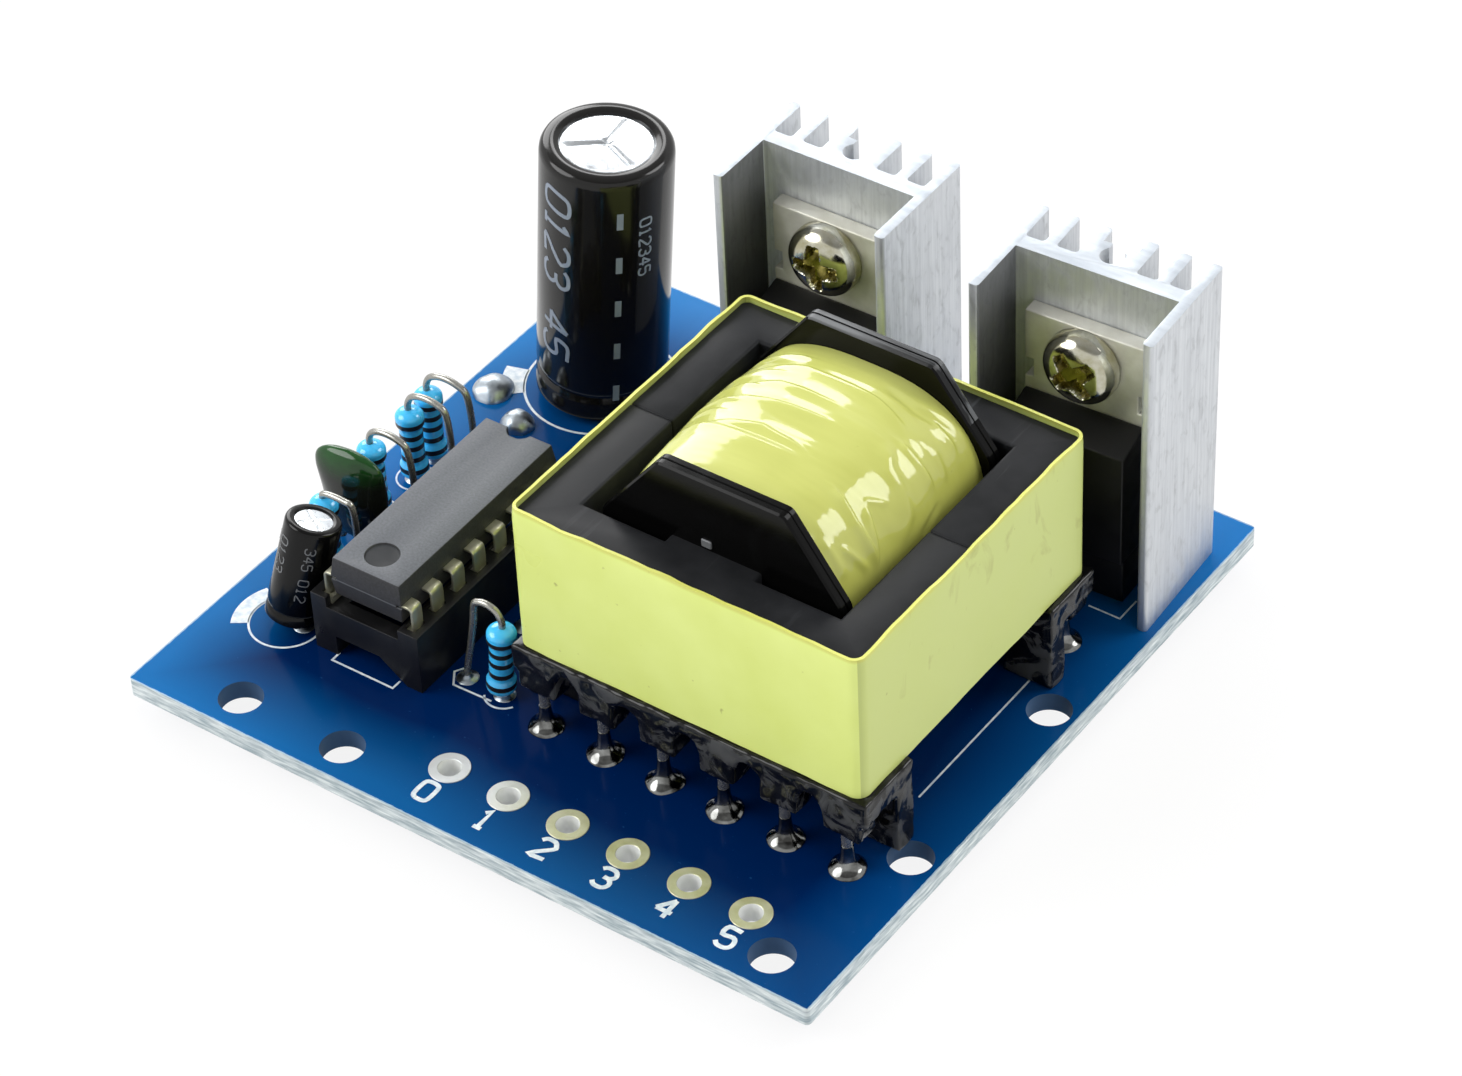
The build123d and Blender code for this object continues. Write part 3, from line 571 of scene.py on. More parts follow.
def tube(path, radius, key):
    # round wire along a path, with a frame carried along it
    stack = []
    side = heading(path, 0).orthogonal().normalized()
    for i, point in enumerate(path):
        along = heading(path, i)
        side = (side - along * side.dot(along)).normalized()
        other = along.cross(side)
        stack.append([point + (side * c + other * s) * radius for _, c, s in circle(14)])
    return rings(stack, key)


def strip(path, width, thick, key, across):
    # bent flat strip: width(point) along the path, flat side square to the plane of the bend
    stack = []
    for i, point in enumerate(path):
        normal = heading(path, i).cross(across).normalized()
        w, h = width(point) / 2, thick / 2
        soft = min(0.05, w * 0.3)
        half = [(-w + soft, -h), (w - soft, -h), (w, -h + soft), (w, h - soft)]
        stack.append([point + across * u + normal * v for u, v in half + [(-u, -v) for u, v in half]])
    return rings(stack, key)


def corners(outline):
    # each corner of a closed outline between its neighbours
    pts = [Vector(p) for p in outline]
    return list(zip(pts[-1:] + pts, pts, pts[1:] + pts[:1]))


def miter(a, p, b, limit):
    # how a corner moves when its line moves one mm to the left
    way = (p - a).normalized() + (b - p).normalized()
    return Vector((-way.y, way.x)) / max(limit, way.length_squared / 2)


def inset_loop(outline, amount):
    # moves each corner of a counter-clockwise outline inwards
    return [p + miter(a, p, b, 0.35) * amount for a, p, b in corners(outline)]


def prism(outline, low, high, chamfer, key):
    # upright slab of an outline, with small chamfers top and bottom
    inner = inset_loop(outline, chamfer)
    levels = ((inner, low), (outline, low + chamfer), (outline, high - chamfer), (inner, high))
    return rings([[(*p, z) for p in loop] for loop, z in levels], key)


def rounded(outline, radii, steps):
    # outline with each corner rounded
    out = []
    for (a, p, b), size in zip(corners(outline), radii):
        start, end = p + (a - p).normalized() * size, p + (b - p).normalized() * size
        for s in range(steps + 1):
            t = s / steps
            out.append(start * (1 - t) ** 2 + p * 2 * t * (1 - t) + end * t * t)
    return out


def arc(x, y, radius, start, end, steps):
    turn = [radians(start + (end - start) * i / steps) for i in range(steps + 1)]
    return [(x + radius * cos(a), y + radius * sin(a)) for a in turn]


def band_faces(count, closed=False):
    # faces of a thin band whose points run low left, low right, high left, high right
    faces = []
    for i in range(count if closed else count - 1):
        j = (i + 1) % count
        for a, b in ((2, 3), (1, 0), (0, 2), (3, 1)):
            faces.append((a * count + i, b * count + i, b * count + j, a * count + j))
    if not closed:
        faces += [(i, count + i, 3 * count + i, 2 * count + i) for i in (0, count - 1)]
    return faces


def ribbon(points, width, z, closed=False):
    # flat printed line of constant width on a level surface; its corners are mitred
    pts = [Vector(p) for p in points]
    ends = (pts[-1], pts[0]) if closed else (2 * pts[0] - pts[1], 2 * pts[-1] - pts[-2])
    pts = [ends[0], *pts, ends[1]]
    sides = [(p, miter(a, p, b, 0.5) * width / 2) for a, p, b in zip(pts, pts[1:], pts[2:])]
    edges = [p + n for p, n in sides] + [p - n for p, n in sides]
    return [(*p, h) for h in (z, z + INK_THICK) for p in edges], band_faces(len(sides), closed), "ink"


# plain digits, drawn in strokes on a 4 by 6 grid
DIGIT_PITCH = 5.6
ROUND_DIGITS = "0235"
DIGITS = {
    "0": [[(1, 0), (3, 0), (4, 1), (4, 5), (3, 6), (1, 6), (0, 5), (0, 1), (1, 0)]],
    "1": [[(0.9, 4.8), (2, 6), (2, 0)], [(0.9, 0), (3.1, 0)]],
    "2": [[(0, 5), (1, 6), (3, 6), (4, 5), (4, 3.8), (0, 0), (4, 0)]],
    "3": [[(0, 5.2), (1, 6), (3, 6), (4, 5), (4, 4), (3, 3.2), (1.6, 3.2)],
          [(3, 3.2), (4, 2.2), (4, 1), (3, 0), (1, 0), (0, 0.9)]],
    "4": [[(3, 0), (3, 6)], [(3, 6), (0, 2)], [(0, 2), (4.2, 2)]],
    "5": [[(3.8, 6), (0.4, 6), (0.2, 3.4), (3, 3.6), (4, 2.6), (4, 1), (3, 0), (1, 0), (0, 0.9)]],
    " ": [],
}


def digit_lines(text, height, slant=0.0):
    # the strokes of a number, its first digit at the origin
    unit = height / 6
    lines = []
    for spot, digit in enumerate(text):
        for stroke in DIGITS[digit]:
            pts = [Vector(((x + DIGIT_PITCH * spot + slant * y) * unit, y * unit)) for x, y in stroke]
            lines.append(smooth_path(pts, 3) if digit in ROUND_DIGITS else pts)
    return lines


# circuit board

def make_board():
    # eyelets plated through the pads: the rim on top, then the bore with its lower rim
    paint("circuit_board", "board")
    low, high, flush = BOARD_UNDER - 0.08, BOARD_TOP + 0.08, BOARD_TOP - 0.01
    rim = [(0.88, high - 0.03), (0.91, high), (1.52, high), (1.55, high - 0.03), (1.55, flush)]
    bore = [(1.0, flush), (1.0, BOARD_UNDER + 0.01), (1.55, BOARD_UNDER + 0.01), (1.55, low), (0.9, low),
            (0.85, BOARD_UNDER + 0.1), (0.85, high - 0.08), (0.88, high - 0.03)]
    eyelets = []
    for x, y in PADS:
        for profile, key in ((rim, "pad"), (bore, "bore")):
            eyelets.append(moved(lathe(profile, key, 56, closed=False), place(x, y, 0)))
    piece("output_pad_eyelets", eyelets, ("output_pads",))


def make_silkscreen():
    z = BOARD_TOP
    lines = [
        ([(-18.84, -18.9), (-18.84, -19.82), (-13.19, -19.78), (-13.19, -18.9)], 0.16),
        ([(-6.3, -16.95), (-9.7, -17.06), (-10.5, -15.9), (-9.9, -14.9)], 0.16),
        (arc(-5.9, -15.85, 1.5, 215, 330, 24), 0.16),
        ([(25.14, 6.19), (25.14, -8.3)], 0.14),
        ([(24.4, 15.3), (27.1, 15.3), (27.1, 17.6)], 0.14),
    ]
    for bx, by, lx, ly, *_ in RESISTORS[:4]:
        lines.append((arc(bx, by, 1.5, 60, 300, 32), 0.14))
        lines += [([(bx + 0.75, by + side), (lx - 0.7, ly + side)], 0.14) for side in (1.3, -1.3)]
    parts = [ribbon(points, width, z) for points, width in lines]
    for number, (x, y) in enumerate(PADS):
        for level, line in enumerate(digit_lines(str(number), 1.85)):
            parts.append(ribbon([p + Vector((x - 0.6, y - 3.7)) for p in line], 0.36, z + 0.006 * level))
    # circles round the capacitors, each with a filled patch on its outside
    circles = ((-21.1, 16.57, 6.1, 0.2, 96, 196, 222, 8.0), (-24.3, -18.4, 2.85, 0.17, 64, 150, 215, 4.2))
    for x, y, radius, width, steps, start, end, out in circles:
        parts.append(ribbon(arc(x, y, radius, 0, 360, steps)[:-1], width, z, closed=True))
        patch = arc(x, y, radius, start, end, 12) + arc(x, y, out, start, end, 12)[::-1]
        parts.append(prism(patch, z, z + INK_THICK, 0.004, "ink"))
    piece("printed_outlines", parts)


# transformer

def make_core_tape():
    # wrapped band with rounded corners and an uneven lip that leans in
    half_x, half_y = 14.57, 14.12
    low, high = BOARD_TOP + 7.6, BOARD_TOP + 20.3
    thick, corner, arc_steps, side_steps = 0.25, 0.75, 8, 30
    centres = [(side_x * (half_x - corner), side_y * (half_y - corner))
               for side_x, side_y in ((1, -1), (1, 1), (-1, 1), (-1, -1))]
    loop = []
    for quarter, (x, y) in enumerate(centres):
        for k in range(arc_steps + 1):
            a = radians(90 * (quarter - 1) + 90 * k / arc_steps)
            loop.append((x, y, cos(a), sin(a)))
        end_x, end_y = centres[(quarter + 1) % 4]
        for s in range(1, side_steps):
            t = s / side_steps
            loop.append((x + (end_x - x) * t, y + (end_y - y) * t, cos(a), sin(a)))
    outer, inner = [], []
    for level in (0.0, 0.02, 0.06, 0.2, 0.4, 0.6, 0.8, 0.9, 0.95, 0.975, 1.0):
        outer.append([])
        inner.append([])
        for x, y, nx, ny in loop:
            px, py = x + nx * corner, y + ny * corner
            sag = wave(px * 0.35, py * 0.35, 3.1)
            lip = wave(px * 0.9, py * 0.9, 7.7)
            bulge = 0.03 * wave(px * 0.18, py * 0.18, level * 2.0)
            top = high + 0.07 * sag + 0.04 * lip
            z = low + 0.1 * wave(px * 0.4, py * 0.4, 11.0) * (1 - level) + (top - low) * level
            fold = -0.16 * max(0.0, level - 0.93) / 0.07 * (0.6 + 1.1 * sag)
            for ring, out in ((outer[-1], thick + bulge + fold), (inner[-1], 0.01 + fold)):
                ring.append((XF_X + px + nx * out, XF_Y + py + ny * out, z))
    skin = rings(outer + inner[::-1] + outer[:1], "tape", False, False)
    piece("core_wrap", [skin], ("core_tape",), 50)


ARC_MM = 0.185    # one degree round the winding
CREASES = (
    # points (degrees round from +X, y), then the reach behind and in front of the line, and its height
    (((128, 4.5), (101, 5.7), (80, 5.5), (62, 4.7)), 0.14, 0.80, 0.15),
    (((124, 2.0), (104, 3.3), (86, 3.2)), 0.14, 0.60, 0.12),
    (((128, 0.2), (102, 1.1), (83, 1.5)), 0.14, 0.60, 0.10),
    (((130, -3.6), (107, -2.1), (95, -1.5), (82, -2.3)), 0.18, 0.80, 0.16),
    (((140, 6.2), (118, 6.9), (100, 7.0)), 0.10, 0.40, 0.08),
    (((140, 3.2), (118, 4.4), (104, 4.6)), 0.10, 0.40, 0.09),
    (((140, 1.4), (120, 2.4), (108, 2.4)), 0.10, 0.35, 0.07),
    (((142, -0.4), (122, 0.4), (110, 0.4)), 0.10, 0.35, 0.08),
    (((142, -1.6), (124, -0.8), (112, -0.9)), 0.10, 0.35, 0.07),
    (((66, -3.5), (47, -4.3), (21, -4.5)), 0.15, 0.50, 0.22),
    (((50, -2.7), (38, -3.5), (21, -4.5)), 0.15, 0.50, 0.20),
    (((52, -2.7), (42, -1.1)), 0.20, 0.40, 0.10),
    (((64, 2.6), (53, 0.9), (30, -0.1), (22, -1.9)), 0.50, 0.90, 0.18),
    (((60, 3.3), (30, 3.1)), 0.20, 0.50, 0.17),
    (((56, 7.1), (36, 6.9)), 0.15, 0.30, 0.10),
    (((46, 5.2), (38, 4.9), (28, 4.6)), 0.30, 0.30, 0.08),
    (((52, -7.3), (28, -7.5)), 0.40, 0.40, 0.14),
    (((43, -6.5), (24, -5.3)), 0.25, 0.40, 0.17),
    (((82, 6.9), (65, 6.7), (38, 7.7)), 0.40, 0.40, -0.16),
    (((18, 0.4), (24, 3.4)), 0.30, 0.30, -0.12),
)


def crease_height(across, y):
    # sum of the creases near a point; across is the distance round the winding
    total = 0.0
    for points, behind, before, size in CREASES:
        reach = 3 * max(behind, before)
        ends = [p[0] * ARC_MM for p in points]
        lows, highs = (min(ends), min(p[1] for p in points)), (max(ends), max(p[1] for p in points))
        if not all(a - reach < v < b + reach for a, v, b in zip(lows, (across, y), highs)):
            continue
        gaps = []
        for i in range(len(points) - 1):
            ax, ay, bx, by = ends[i], points[i][1], ends[i + 1], points[i + 1][1]
            dx, dy = bx - ax, by - ay
            t = clamp(((across - ax) * dx + (y - ay) * dy) / (dx * dx + dy * dy))
            aside, ahead = across - ax - t * dx, y - ay - t * dy
            gaps.append((hypot(aside, ahead), ahead > 0, (i + t) / (len(points) - 1)))
        gap, rear, along = min(gaps)
        fade = 0.12 + 0.88 * ease(min(along, 1 - along) / 0.22)
        total += size * fade * exp(-(gap / (behind if rear else before)) ** 2)
    return total


def winding_relief(angle, y):
    # height over the wound form; angle in degrees from +X over the top
    h = crease_height(angle * ARC_MM, y)
    h += 0.2 * smooth_box(angle, 86, 134, 9) * smooth_box(y, -8.4, -2.8, 0.6)
    h -= 0.16 * exp(-(((angle - 60) / 9) ** 2 + ((y - 6.1) / 1.1) ** 2))
    h += 0.14 * wave(angle * 0.03, y * 0.25, 1.7)
    h += 0.03 * wave(angle * 0.06, y * 0.9, 5.2)
    h += 0.008 * wave(angle * 0.12, y * 2.2, 9.4)
    return h * (0.35 + 0.65 * min(1.0, (HALF_WINDING - abs(y)) / 0.8))


def make_winding():
    # a squarish ring swept along Y, fuller in the middle, under the relief of its tape
    around, along, power, tight = 320, 240, 2.75, 0.12
    stack = []
    for j in range(along + 1):
        y = -HALF_WINDING + 2 * HALF_WINDING * j / along
        bulge = 1 - (y / HALF_WINDING) ** 2
        a, b = 10.0 + 0.45 * bulge, 10.2 + 0.6 * bulge
        ring = []
        for t, c, s in circle(around):
            x = a * copysign(abs(c) ** (2 / power), c)
            z = b * copysign(abs(s) ** (2 / power), s)
            angle = degrees(t)
            if angle > 270:
                angle -= 360
            nx, nz = x / a ** 2, z / b ** 2
            h = (winding_relief(angle, y) - tight) / hypot(nx, nz)
            ring.append((XF_X + x + nx * h, XF_Y + y, CORE_MID + z + nz * h))
        stack.append(ring)
    piece("winding_wrap", [rings(stack, "winding")], ("winding_tape", "secondary_winding"), 60)


def flange_part(side):
    # moulded cheek: eased plate with a groove along its top edge; the front one stands a little askew
    low, high, half, top_half = 5.3, 25.8, 10.2, 5.3
    askew = (0.48, 0.27) if side < 0 else (0.1, 0.0)
    outline = [(-half, low), (half, low), (half, 19.4), (top_half, high), (-top_half, high), (-half, 19.4)]
    outline = rounded(outline, [0.1, 0.1, 0.5, 0.45, 0.45, 0.5], 4)
    steps = ((8.8, 0.14), (8.93, 0.0), (9.36, 0.0), (9.42, 0.09),
             (9.5, 0.09), (9.56, 0.0), (9.95, 0.0), (10.1, 0.15))
    stack = []
    for depth, inset in steps:
        stack.append([])
        for x, z in inset_loop(outline, inset):
            up = (z - low) / (high - low)
            stack[-1].append((XF_X + x + askew[0] * up, XF_Y + side * depth + askew[1] * up, BOARD_TOP + z))
    return rings(stack, "bobbin")


def split(work, spot, normal, **options):
    every = work.verts[:] + work.edges[:] + work.faces[:]
    bmesh.ops.bisect_plane(work, geom=every, plane_co=spot, plane_no=normal, **options)


def rail_mesh():
    # the bobbin's pin rails: its CAD form outside the cheeks, up to the rails' top
    work = open_node("transformer_bobbin")
    for side in (-1, 1):
        split(work, (0, (XF_Y + side * 8.85) * MM, 0), (0, side, 0))
    inner = [f for f in work.faces if abs(f.calc_center_median().y / MM - XF_Y) < 8.84]
    bmesh.ops.delete(work, geom=inner, context="FACES")
    split(work, (0, 0, (BOARD_TOP + 8.05) * MM), (0, 0, 1), clear_outer=True)
    bmesh.ops.holes_fill(work, edges=[e for e in work.edges if len(e.link_faces) == 1])
    mesh = bpy.data.meshes.new("bobbin_rails_skin")
    work.to_mesh(mesh)
    work.free()
    return mesh


def melted(p, normal):
    # where a point of the rails comes to lie under the varnish, in mm
    on_face = abs(abs(p.y - XF_Y) - 14.75) < 0.5 or abs(abs(p.x - XF_X) - 15.3) < 0.5
    lump = wave(p.x * 0.55, p.y * 0.5, p.z * 0.6)
    drip = wave(p.x * 1.5, p.y * 1.5, p.z * 1.1 + 4)
    lowest = BOARD_TOP + 0.02
    out = p + normal * ((0.16 if on_face else 0.07) * lump + 0.06 * drip)
    if out.z <= lowest and p.z <= lowest + 0.4:
        out = p
    return Vector((out.x, out.y, max(out.z, lowest)))


def make_bobbin():
    # cheeks are crisp; the pin rails are melted-looking under their varnish
    gate = [(-0.42, -0.32), (0.42, -0.32), (0.42, 0.32), (-0.42, 0.32)]
    gate = prism(rounded(gate, [0.1] * 4, 3), 0.0, 0.16, 0.04, "gate")
    gate = moved(gate, place(XF_X - 0.74, XF_Y - 9.9, BOARD_TOP + 20.4, lean_y=-90))
    piece("bobbin_cheeks", [flange_part(-1), flange_part(1), gate])
    rails = add("bobbin_rails", rail_mesh())
    remesh = rails.modifiers.new("remesh", "REMESH")
    remesh.mode = "VOXEL"
    remesh.voxel_size = 0.17 * MM
    skin = bpy.data.meshes.new_from_object(rails.evaluated_get(bpy.context.evaluated_depsgraph_get()))
    skin.name = "bobbin_rails_varnished"
    rails.modifiers.clear()
    rails.data = skin
    work = bmesh.new()
    work.from_mesh(skin)
    axes = {"use_axis_x": True, "use_axis_y": True, "use_axis_z": True}
    for _ in range(5):
        bmesh.ops.smooth_vert(work, verts=work.verts, factor=0.5, **axes)
    work.normal_update()
    for v in work.verts:
        v.co = melted(v.co / MM, v.normal) * MM
    close_skin(work, skin, "varnish", 60)
    dress(rails, ("transformer_bobbin",))


def make_pin_solder():
    solder, necks = [], []
    for side in (-1, 1):
        for i, dx in enumerate(PIN_X):
            at = place(XF_X + dx, XF_Y + side * PIN_ROW, BOARD_TOP)
            seed = i * 3.1 + side
            size = wave(seed, 0.3, 0.9)
            wide, tall = 1.42 + 0.12 * size, 1.75 + 0.35 * size
            profile = [(0.0, 0.0), (wide, 0.0), (wide * 0.97, 0.12), (wide * 0.78, 0.3), (0.72, 0.62),
                       (0.56, 1.0), (0.48, tall), (0.45, tall + 0.5), (0.0, tall + 0.55)]
            solder.append(moved(lathe(profile, "pin_solder", 40, uneven(seed, 0.09, 1.0, 0.8)), at))
            neck = [(0.0, 1.2), (0.41, 1.2), (0.41, 4.4), (0.0, 4.5)]
            necks.append(moved(lathe(neck, "lead", 24), at))
    piece("pin_solder", solder, ("transformer_solder",), 60)
    piece("pin_necks", necks)
    paint("transformer_pins", "lead")


def make_cores():
    for node in ("ferrite_core_front", "ferrite_core_rear"):
        soften(node, "ferrite", 0.22)
    paint("primary_winding", "copper")


# chip and socket

def make_chip():
    base = place(*CHIP)
    soften("chip_body", "chip", 0.09, 3)
    soften("chip_socket", "socket", 0.1)
    paint("socket_contacts", "chip_lead")
    foot, neck, narrow, wide, end_wide = 4.75, 0.14, 0.5, 1.37, 1.15
    # distance out and height: level out of the body, round the bend, down into the contact
    bend = [(x, CHIP_PARTING - down) for x, down in
            ((2.9, 0), (3.5, 0), (3.76, 0.03), (3.91, 0.16), (3.96, 0.42), (3.97, 1.0))]
    bend += [(3.96, 5.6), (3.94, 5.1), (3.9, 4.7), (3.83, 4.2), (3.81, 3.2)]
    legs = []
    for side in (-1, 1):
        for i in range(8):
            last = {0: 1, 7: -1}.get(i, 0)
            y = -8.89 + 2.54 * i + 0.11 * last

            def width(point, full=end_wide if last else wide):
                return narrow + (full - narrow) * clamp((point.z - foot + neck) / neck)

            path = smooth_path([(side * x, y, z) for x, z in bend], 5)
            legs.append(moved(strip(path, width, 0.26, "chip_lead", Vector((0, 1, 0))), base))
    piece("chip_legs", legs, ("chip_leads",), 50)
    floor = lathe([(0.0, 0.0), (1.27, 0.0), (1.27, 0.04), (0.0, 0.04)], "dimple")
    piece("chip_dimple_floor", [moved(floor, base @ place(-0.12, -7.15, 8.74))])


# capacitors

def lid_part(lid_r, lid_z, k, vent):
    # scored lid, slightly domed; k is its scale and vent its grooves' angles
    inner = lid_r * 0.94
    stack = []
    for radius in [lid_r, lid_r * 0.97] + [inner * (1 - q / 14) for q in range(14)] + [0.001]:
        ring = []
        for a, c, s in circle(96):
            z = lid_z - (0.04 * k if radius > lid_r * 0.99 else 0.0)
            if radius <= inner:
                groove = 0.0
                for arm in vent:
                    aside = abs(sin(a - radians(arm))) * radius
                    if cos(a - radians(arm)) > 0 or radius < 0.3 * k:
                        groove = max(groove, exp(-(aside / (0.15 * k)) ** 2))
                z += 0.12 * k * (1 - (radius / inner) ** 2)
                z -= 0.16 * k * groove * min(1.0, (inner - radius) / (0.5 * k) + 0.2)
            ring.append((radius * c, radius * s, z))
        stack.append(ring)
    return rings(stack, "can", False, True)


def cap_parts(spec, lid_share, vent, notes):
    # shrink sleeve with its foot groove and rolled-over rim, the scored lid inside it, and its print
    x, y, diameter, height, lean_x, lean_y, lift = spec
    r = diameter / 2
    k = diameter / MAIN_CAP[2]
    lid_r = r * lid_share
    foot = ((1, 0.35), (1, 1.6), (0.985, 1.9), (0.955, 2.3), (0.985, 2.7), (1, 3.1))
    shoulder = ((1, 0.9), (0.99, 0.5), (0.96, 0.2), (0.91, 0.04))
    lip = ((0.55, 0), (0.25, 0.06), (0.06, 0.16), (0, 0.35))
    sleeve = [(r * 0.6, 0.02), (r * 0.93, 0.0)] + [(r * share, up * k) for share, up in foot]
    sleeve += [(r, height * 0.55)] + [(r * share, height - down * k) for share, down in shoulder]
    sleeve += [(lid_r + out * k, height - down * k) for out, down in lip]
    skin = lathe(sleeve, "sleeve" if k > 0.6 else "small_sleeve", 96, closed=False)
    at = place(x, y, BOARD_TOP + lift, 0, lean_x, lean_y)
    return [moved(part, at) for part in [skin, lid_part(lid_r, height - 0.3 * k, k, vent)] + notes]


def around_print(lines, r, angle, top, width, key):
    # strokes laid on a cylinder: text runs down the axis, its height goes round
    out = []
    for stroke in lines:
        pts = stroke[:1]
        for a, b in zip(stroke, stroke[1:]):
            cuts = max(1, ceil((b - a).length / 0.3))
            pts = pts + [a.lerp(b, (i + 1) / cuts) for i in range(cuts)]
        pts = [Vector((p.y, -p.x)) for p in pts]
        sides = []
        for i, p in enumerate(pts):
            way = heading(pts, i)
            sides.append((p, Vector((-way.y, way.x)) * width / 2))
        verts = []
        for radius in (r - 0.01, r + 0.025):
            for p in [p + n for p, n in sides] + [p - n for p, n in sides]:
                a = radians(angle) + p.x / r
                verts.append((radius * cos(a), radius * sin(a), top + p.y))
        out.append((verts, band_faces(len(pts)), key))
    return out


CAPS = (
    # name, sizes, lid's share, vent, ink; then texts: digits, height, slant, angle, top, line width;
    # then a row of bars: angle, top, step, count, length, line width
    ("main_capacitor", MAIN_CAP, 0.7, (100, 220, 340), "print",
     (("0123 45", 2.5, 0.2, 246, 21.6, 0.34), ("012345", 1.0, 0.0, 336, 19.6, 0.16)),
     (318, 20.6, 4.2, 5, 1.5, 0.5)),
    ("small_capacitor", SMALL_CAP, 0.67, (60, 240, 150, 330), "small_print",
     (("0123", 0.85, 0.0, 236, 7.2, 0.1), ("345 012", 0.75, 0.0, 300, 7.2, 0.09)),
     (205, 7.0, 2.2, 3, 0.9, 0.3)),
)


def make_capacitors():
    for cap, spec, lid_share, vent, ink, texts, bars in CAPS:
        r = spec[2] / 2
        notes = []
        for text, height, slant, angle, top, line in texts:
            notes += around_print(digit_lines(text, height, slant), r, angle, top, line, ink)
        angle, top, step, count, length, line = bars
        bar = [Vector((0, 0)), Vector((length, 0))]
        for k in range(count):
            notes += around_print([bar], r, angle, top - step * k, line, ink)
        nodes = (cap + "_sleeve", cap + "_can")
        piece(cap + "_skin", cap_parts(spec, lid_share, vent, notes), nodes)
        paint(cap + "_bung", "rubber")
        paint(cap + "_leads", "lead")


# resistors and film capacitor

def parted(faces, test):
    # the faces that fail a test, and those that pass it
    return [f for f in faces if not test(f)], [f for f in faces if test(f)]


def resistor_wire(bx, by, lx, ly, top, rise, sway, seed):
    # from the body's top over in a springy loop and down to the board
    wob = wave(seed, 1.0, 2.0)
    spring = min(0.35, rise * 0.3)
    start = Vector((bx, by, top + spring))
    reach = Vector((lx + sway - bx, ly - by, 0))
    points = [(bx, by, top - 0.4), start - reach * 0.02]
    for k in range(1, 6):
        a = pi * k / 6
        up = (rise - spring) * sin(a) ** 0.8
        points.append(start + reach * (0.5 - 0.5 * cos(a)) + Vector((0, 0.12 * wob, up)))
    points += [(lx + 0.04 + sway * 0.9, ly, top - 0.6), (lx - 0.1 * wob + sway * 0.45, ly + 0.1, top - 3.2),
               (lx, ly, BOARD_TOP + 0.4), (lx, ly, 0.25)]
    return tube(smooth_path(points, 6), 0.275, "lead")


def make_resistors():
    # one body for all: domed caps, full ends, a waist, five dark bands
    full, waist, long, foot, cap, steps = 1.125, 0.92, 6.5, BOARD_TOP + 0.3, 0.65, 72
    profile = []
    for z in (long * i / steps for i in range(steps + 1)):
        gap = min(z, long - z)
        r = full + (waist - full) * ease((gap - 1.2) / 0.55)
        profile.append((r * sqrt(1 - 0.93 * (1 - clamp(gap / cap)) ** 2), z))
    verts, faces, _ = lathe(profile, "blue", 40)

    def banded(face):
        z = sum(verts[i][2] for i in face) / len(face)
        return len(face) == 4 and any(abs(z - band) < 0.24 for band in (1.05, 2.15, 3.2, 4.2, 5.35))

    light, dark = parted(faces, banded)
    for number, (bx, by, lx, ly, rise, lean, sway) in enumerate(RESISTORS):
        shift = tan(radians(lean)) * long / 2
        at = place(bx - shift, by, foot, 0, lean)
        parts = [moved((verts, light, "blue"), at), moved((verts, dark, "band"), at)]
        bodies = ("resistor_bodies",) if number == 0 else ()
        piece("resistor_%d" % (number + 1), parts, bodies)
        wire = resistor_wire(bx + shift, by, lx, ly, foot + long, rise, sway, number * 5.3)
        loop = ("resistor_loop_lead_%d" % (number + 1),)
        piece("resistor_wire_%d" % (number + 1), [wire], loop)
    paint("resistor_lower_leads", "lead")


def make_film_cap():
    # flattened drop: upright on its right side, drawn in to its wires on the left
    tall, half, thick, levels, steps = 7.9, 3.05, 1.42, 36, 56
    shoulder, foot = 0.76, 0.1
    stack = []
    for t in (i / levels for i in range(levels + 1)):
        left = half - 1.35 * max(0.0, 1 - t / 0.72) ** 1.15
        right = half - 0.45 * max(0.0, 1 - t / 0.3)
        close = 1.0
        if t < foot:
            close = sqrt(max(0.06, 1 - (1 - t / foot) ** 2))
        if t > shoulder:
            close = sqrt(max(0.0, 1 - ((t - shoulder) / (1 - shoulder)) ** 2.6))
        deep = thick * max(0.0, sin(pi * min(1.0, 0.08 + 0.92 * t ** 0.9))) ** 0.5
        deep = max(deep, 0.4 if t < 0.4 else 0.015)
        ring = []
        for _, c, s in circle(steps):
            wide = max(0.02, (left if c < 0 else right) * close)
            bump = 1 + 0.04 * wave(c * 1.2, s * 1.2, tall * t * 0.4)
            ring.append((wide * bump * c, deep * bump * s, tall * t))
        stack.append(ring)
    body = moved(rings(stack, "green"), place(*FILM))
    piece("film_capacitor_drop", [body], ("film_capacitor_body",), 60)
    paint("film_capacitor_leads", "lead")


# heatsinks, transistors, screws

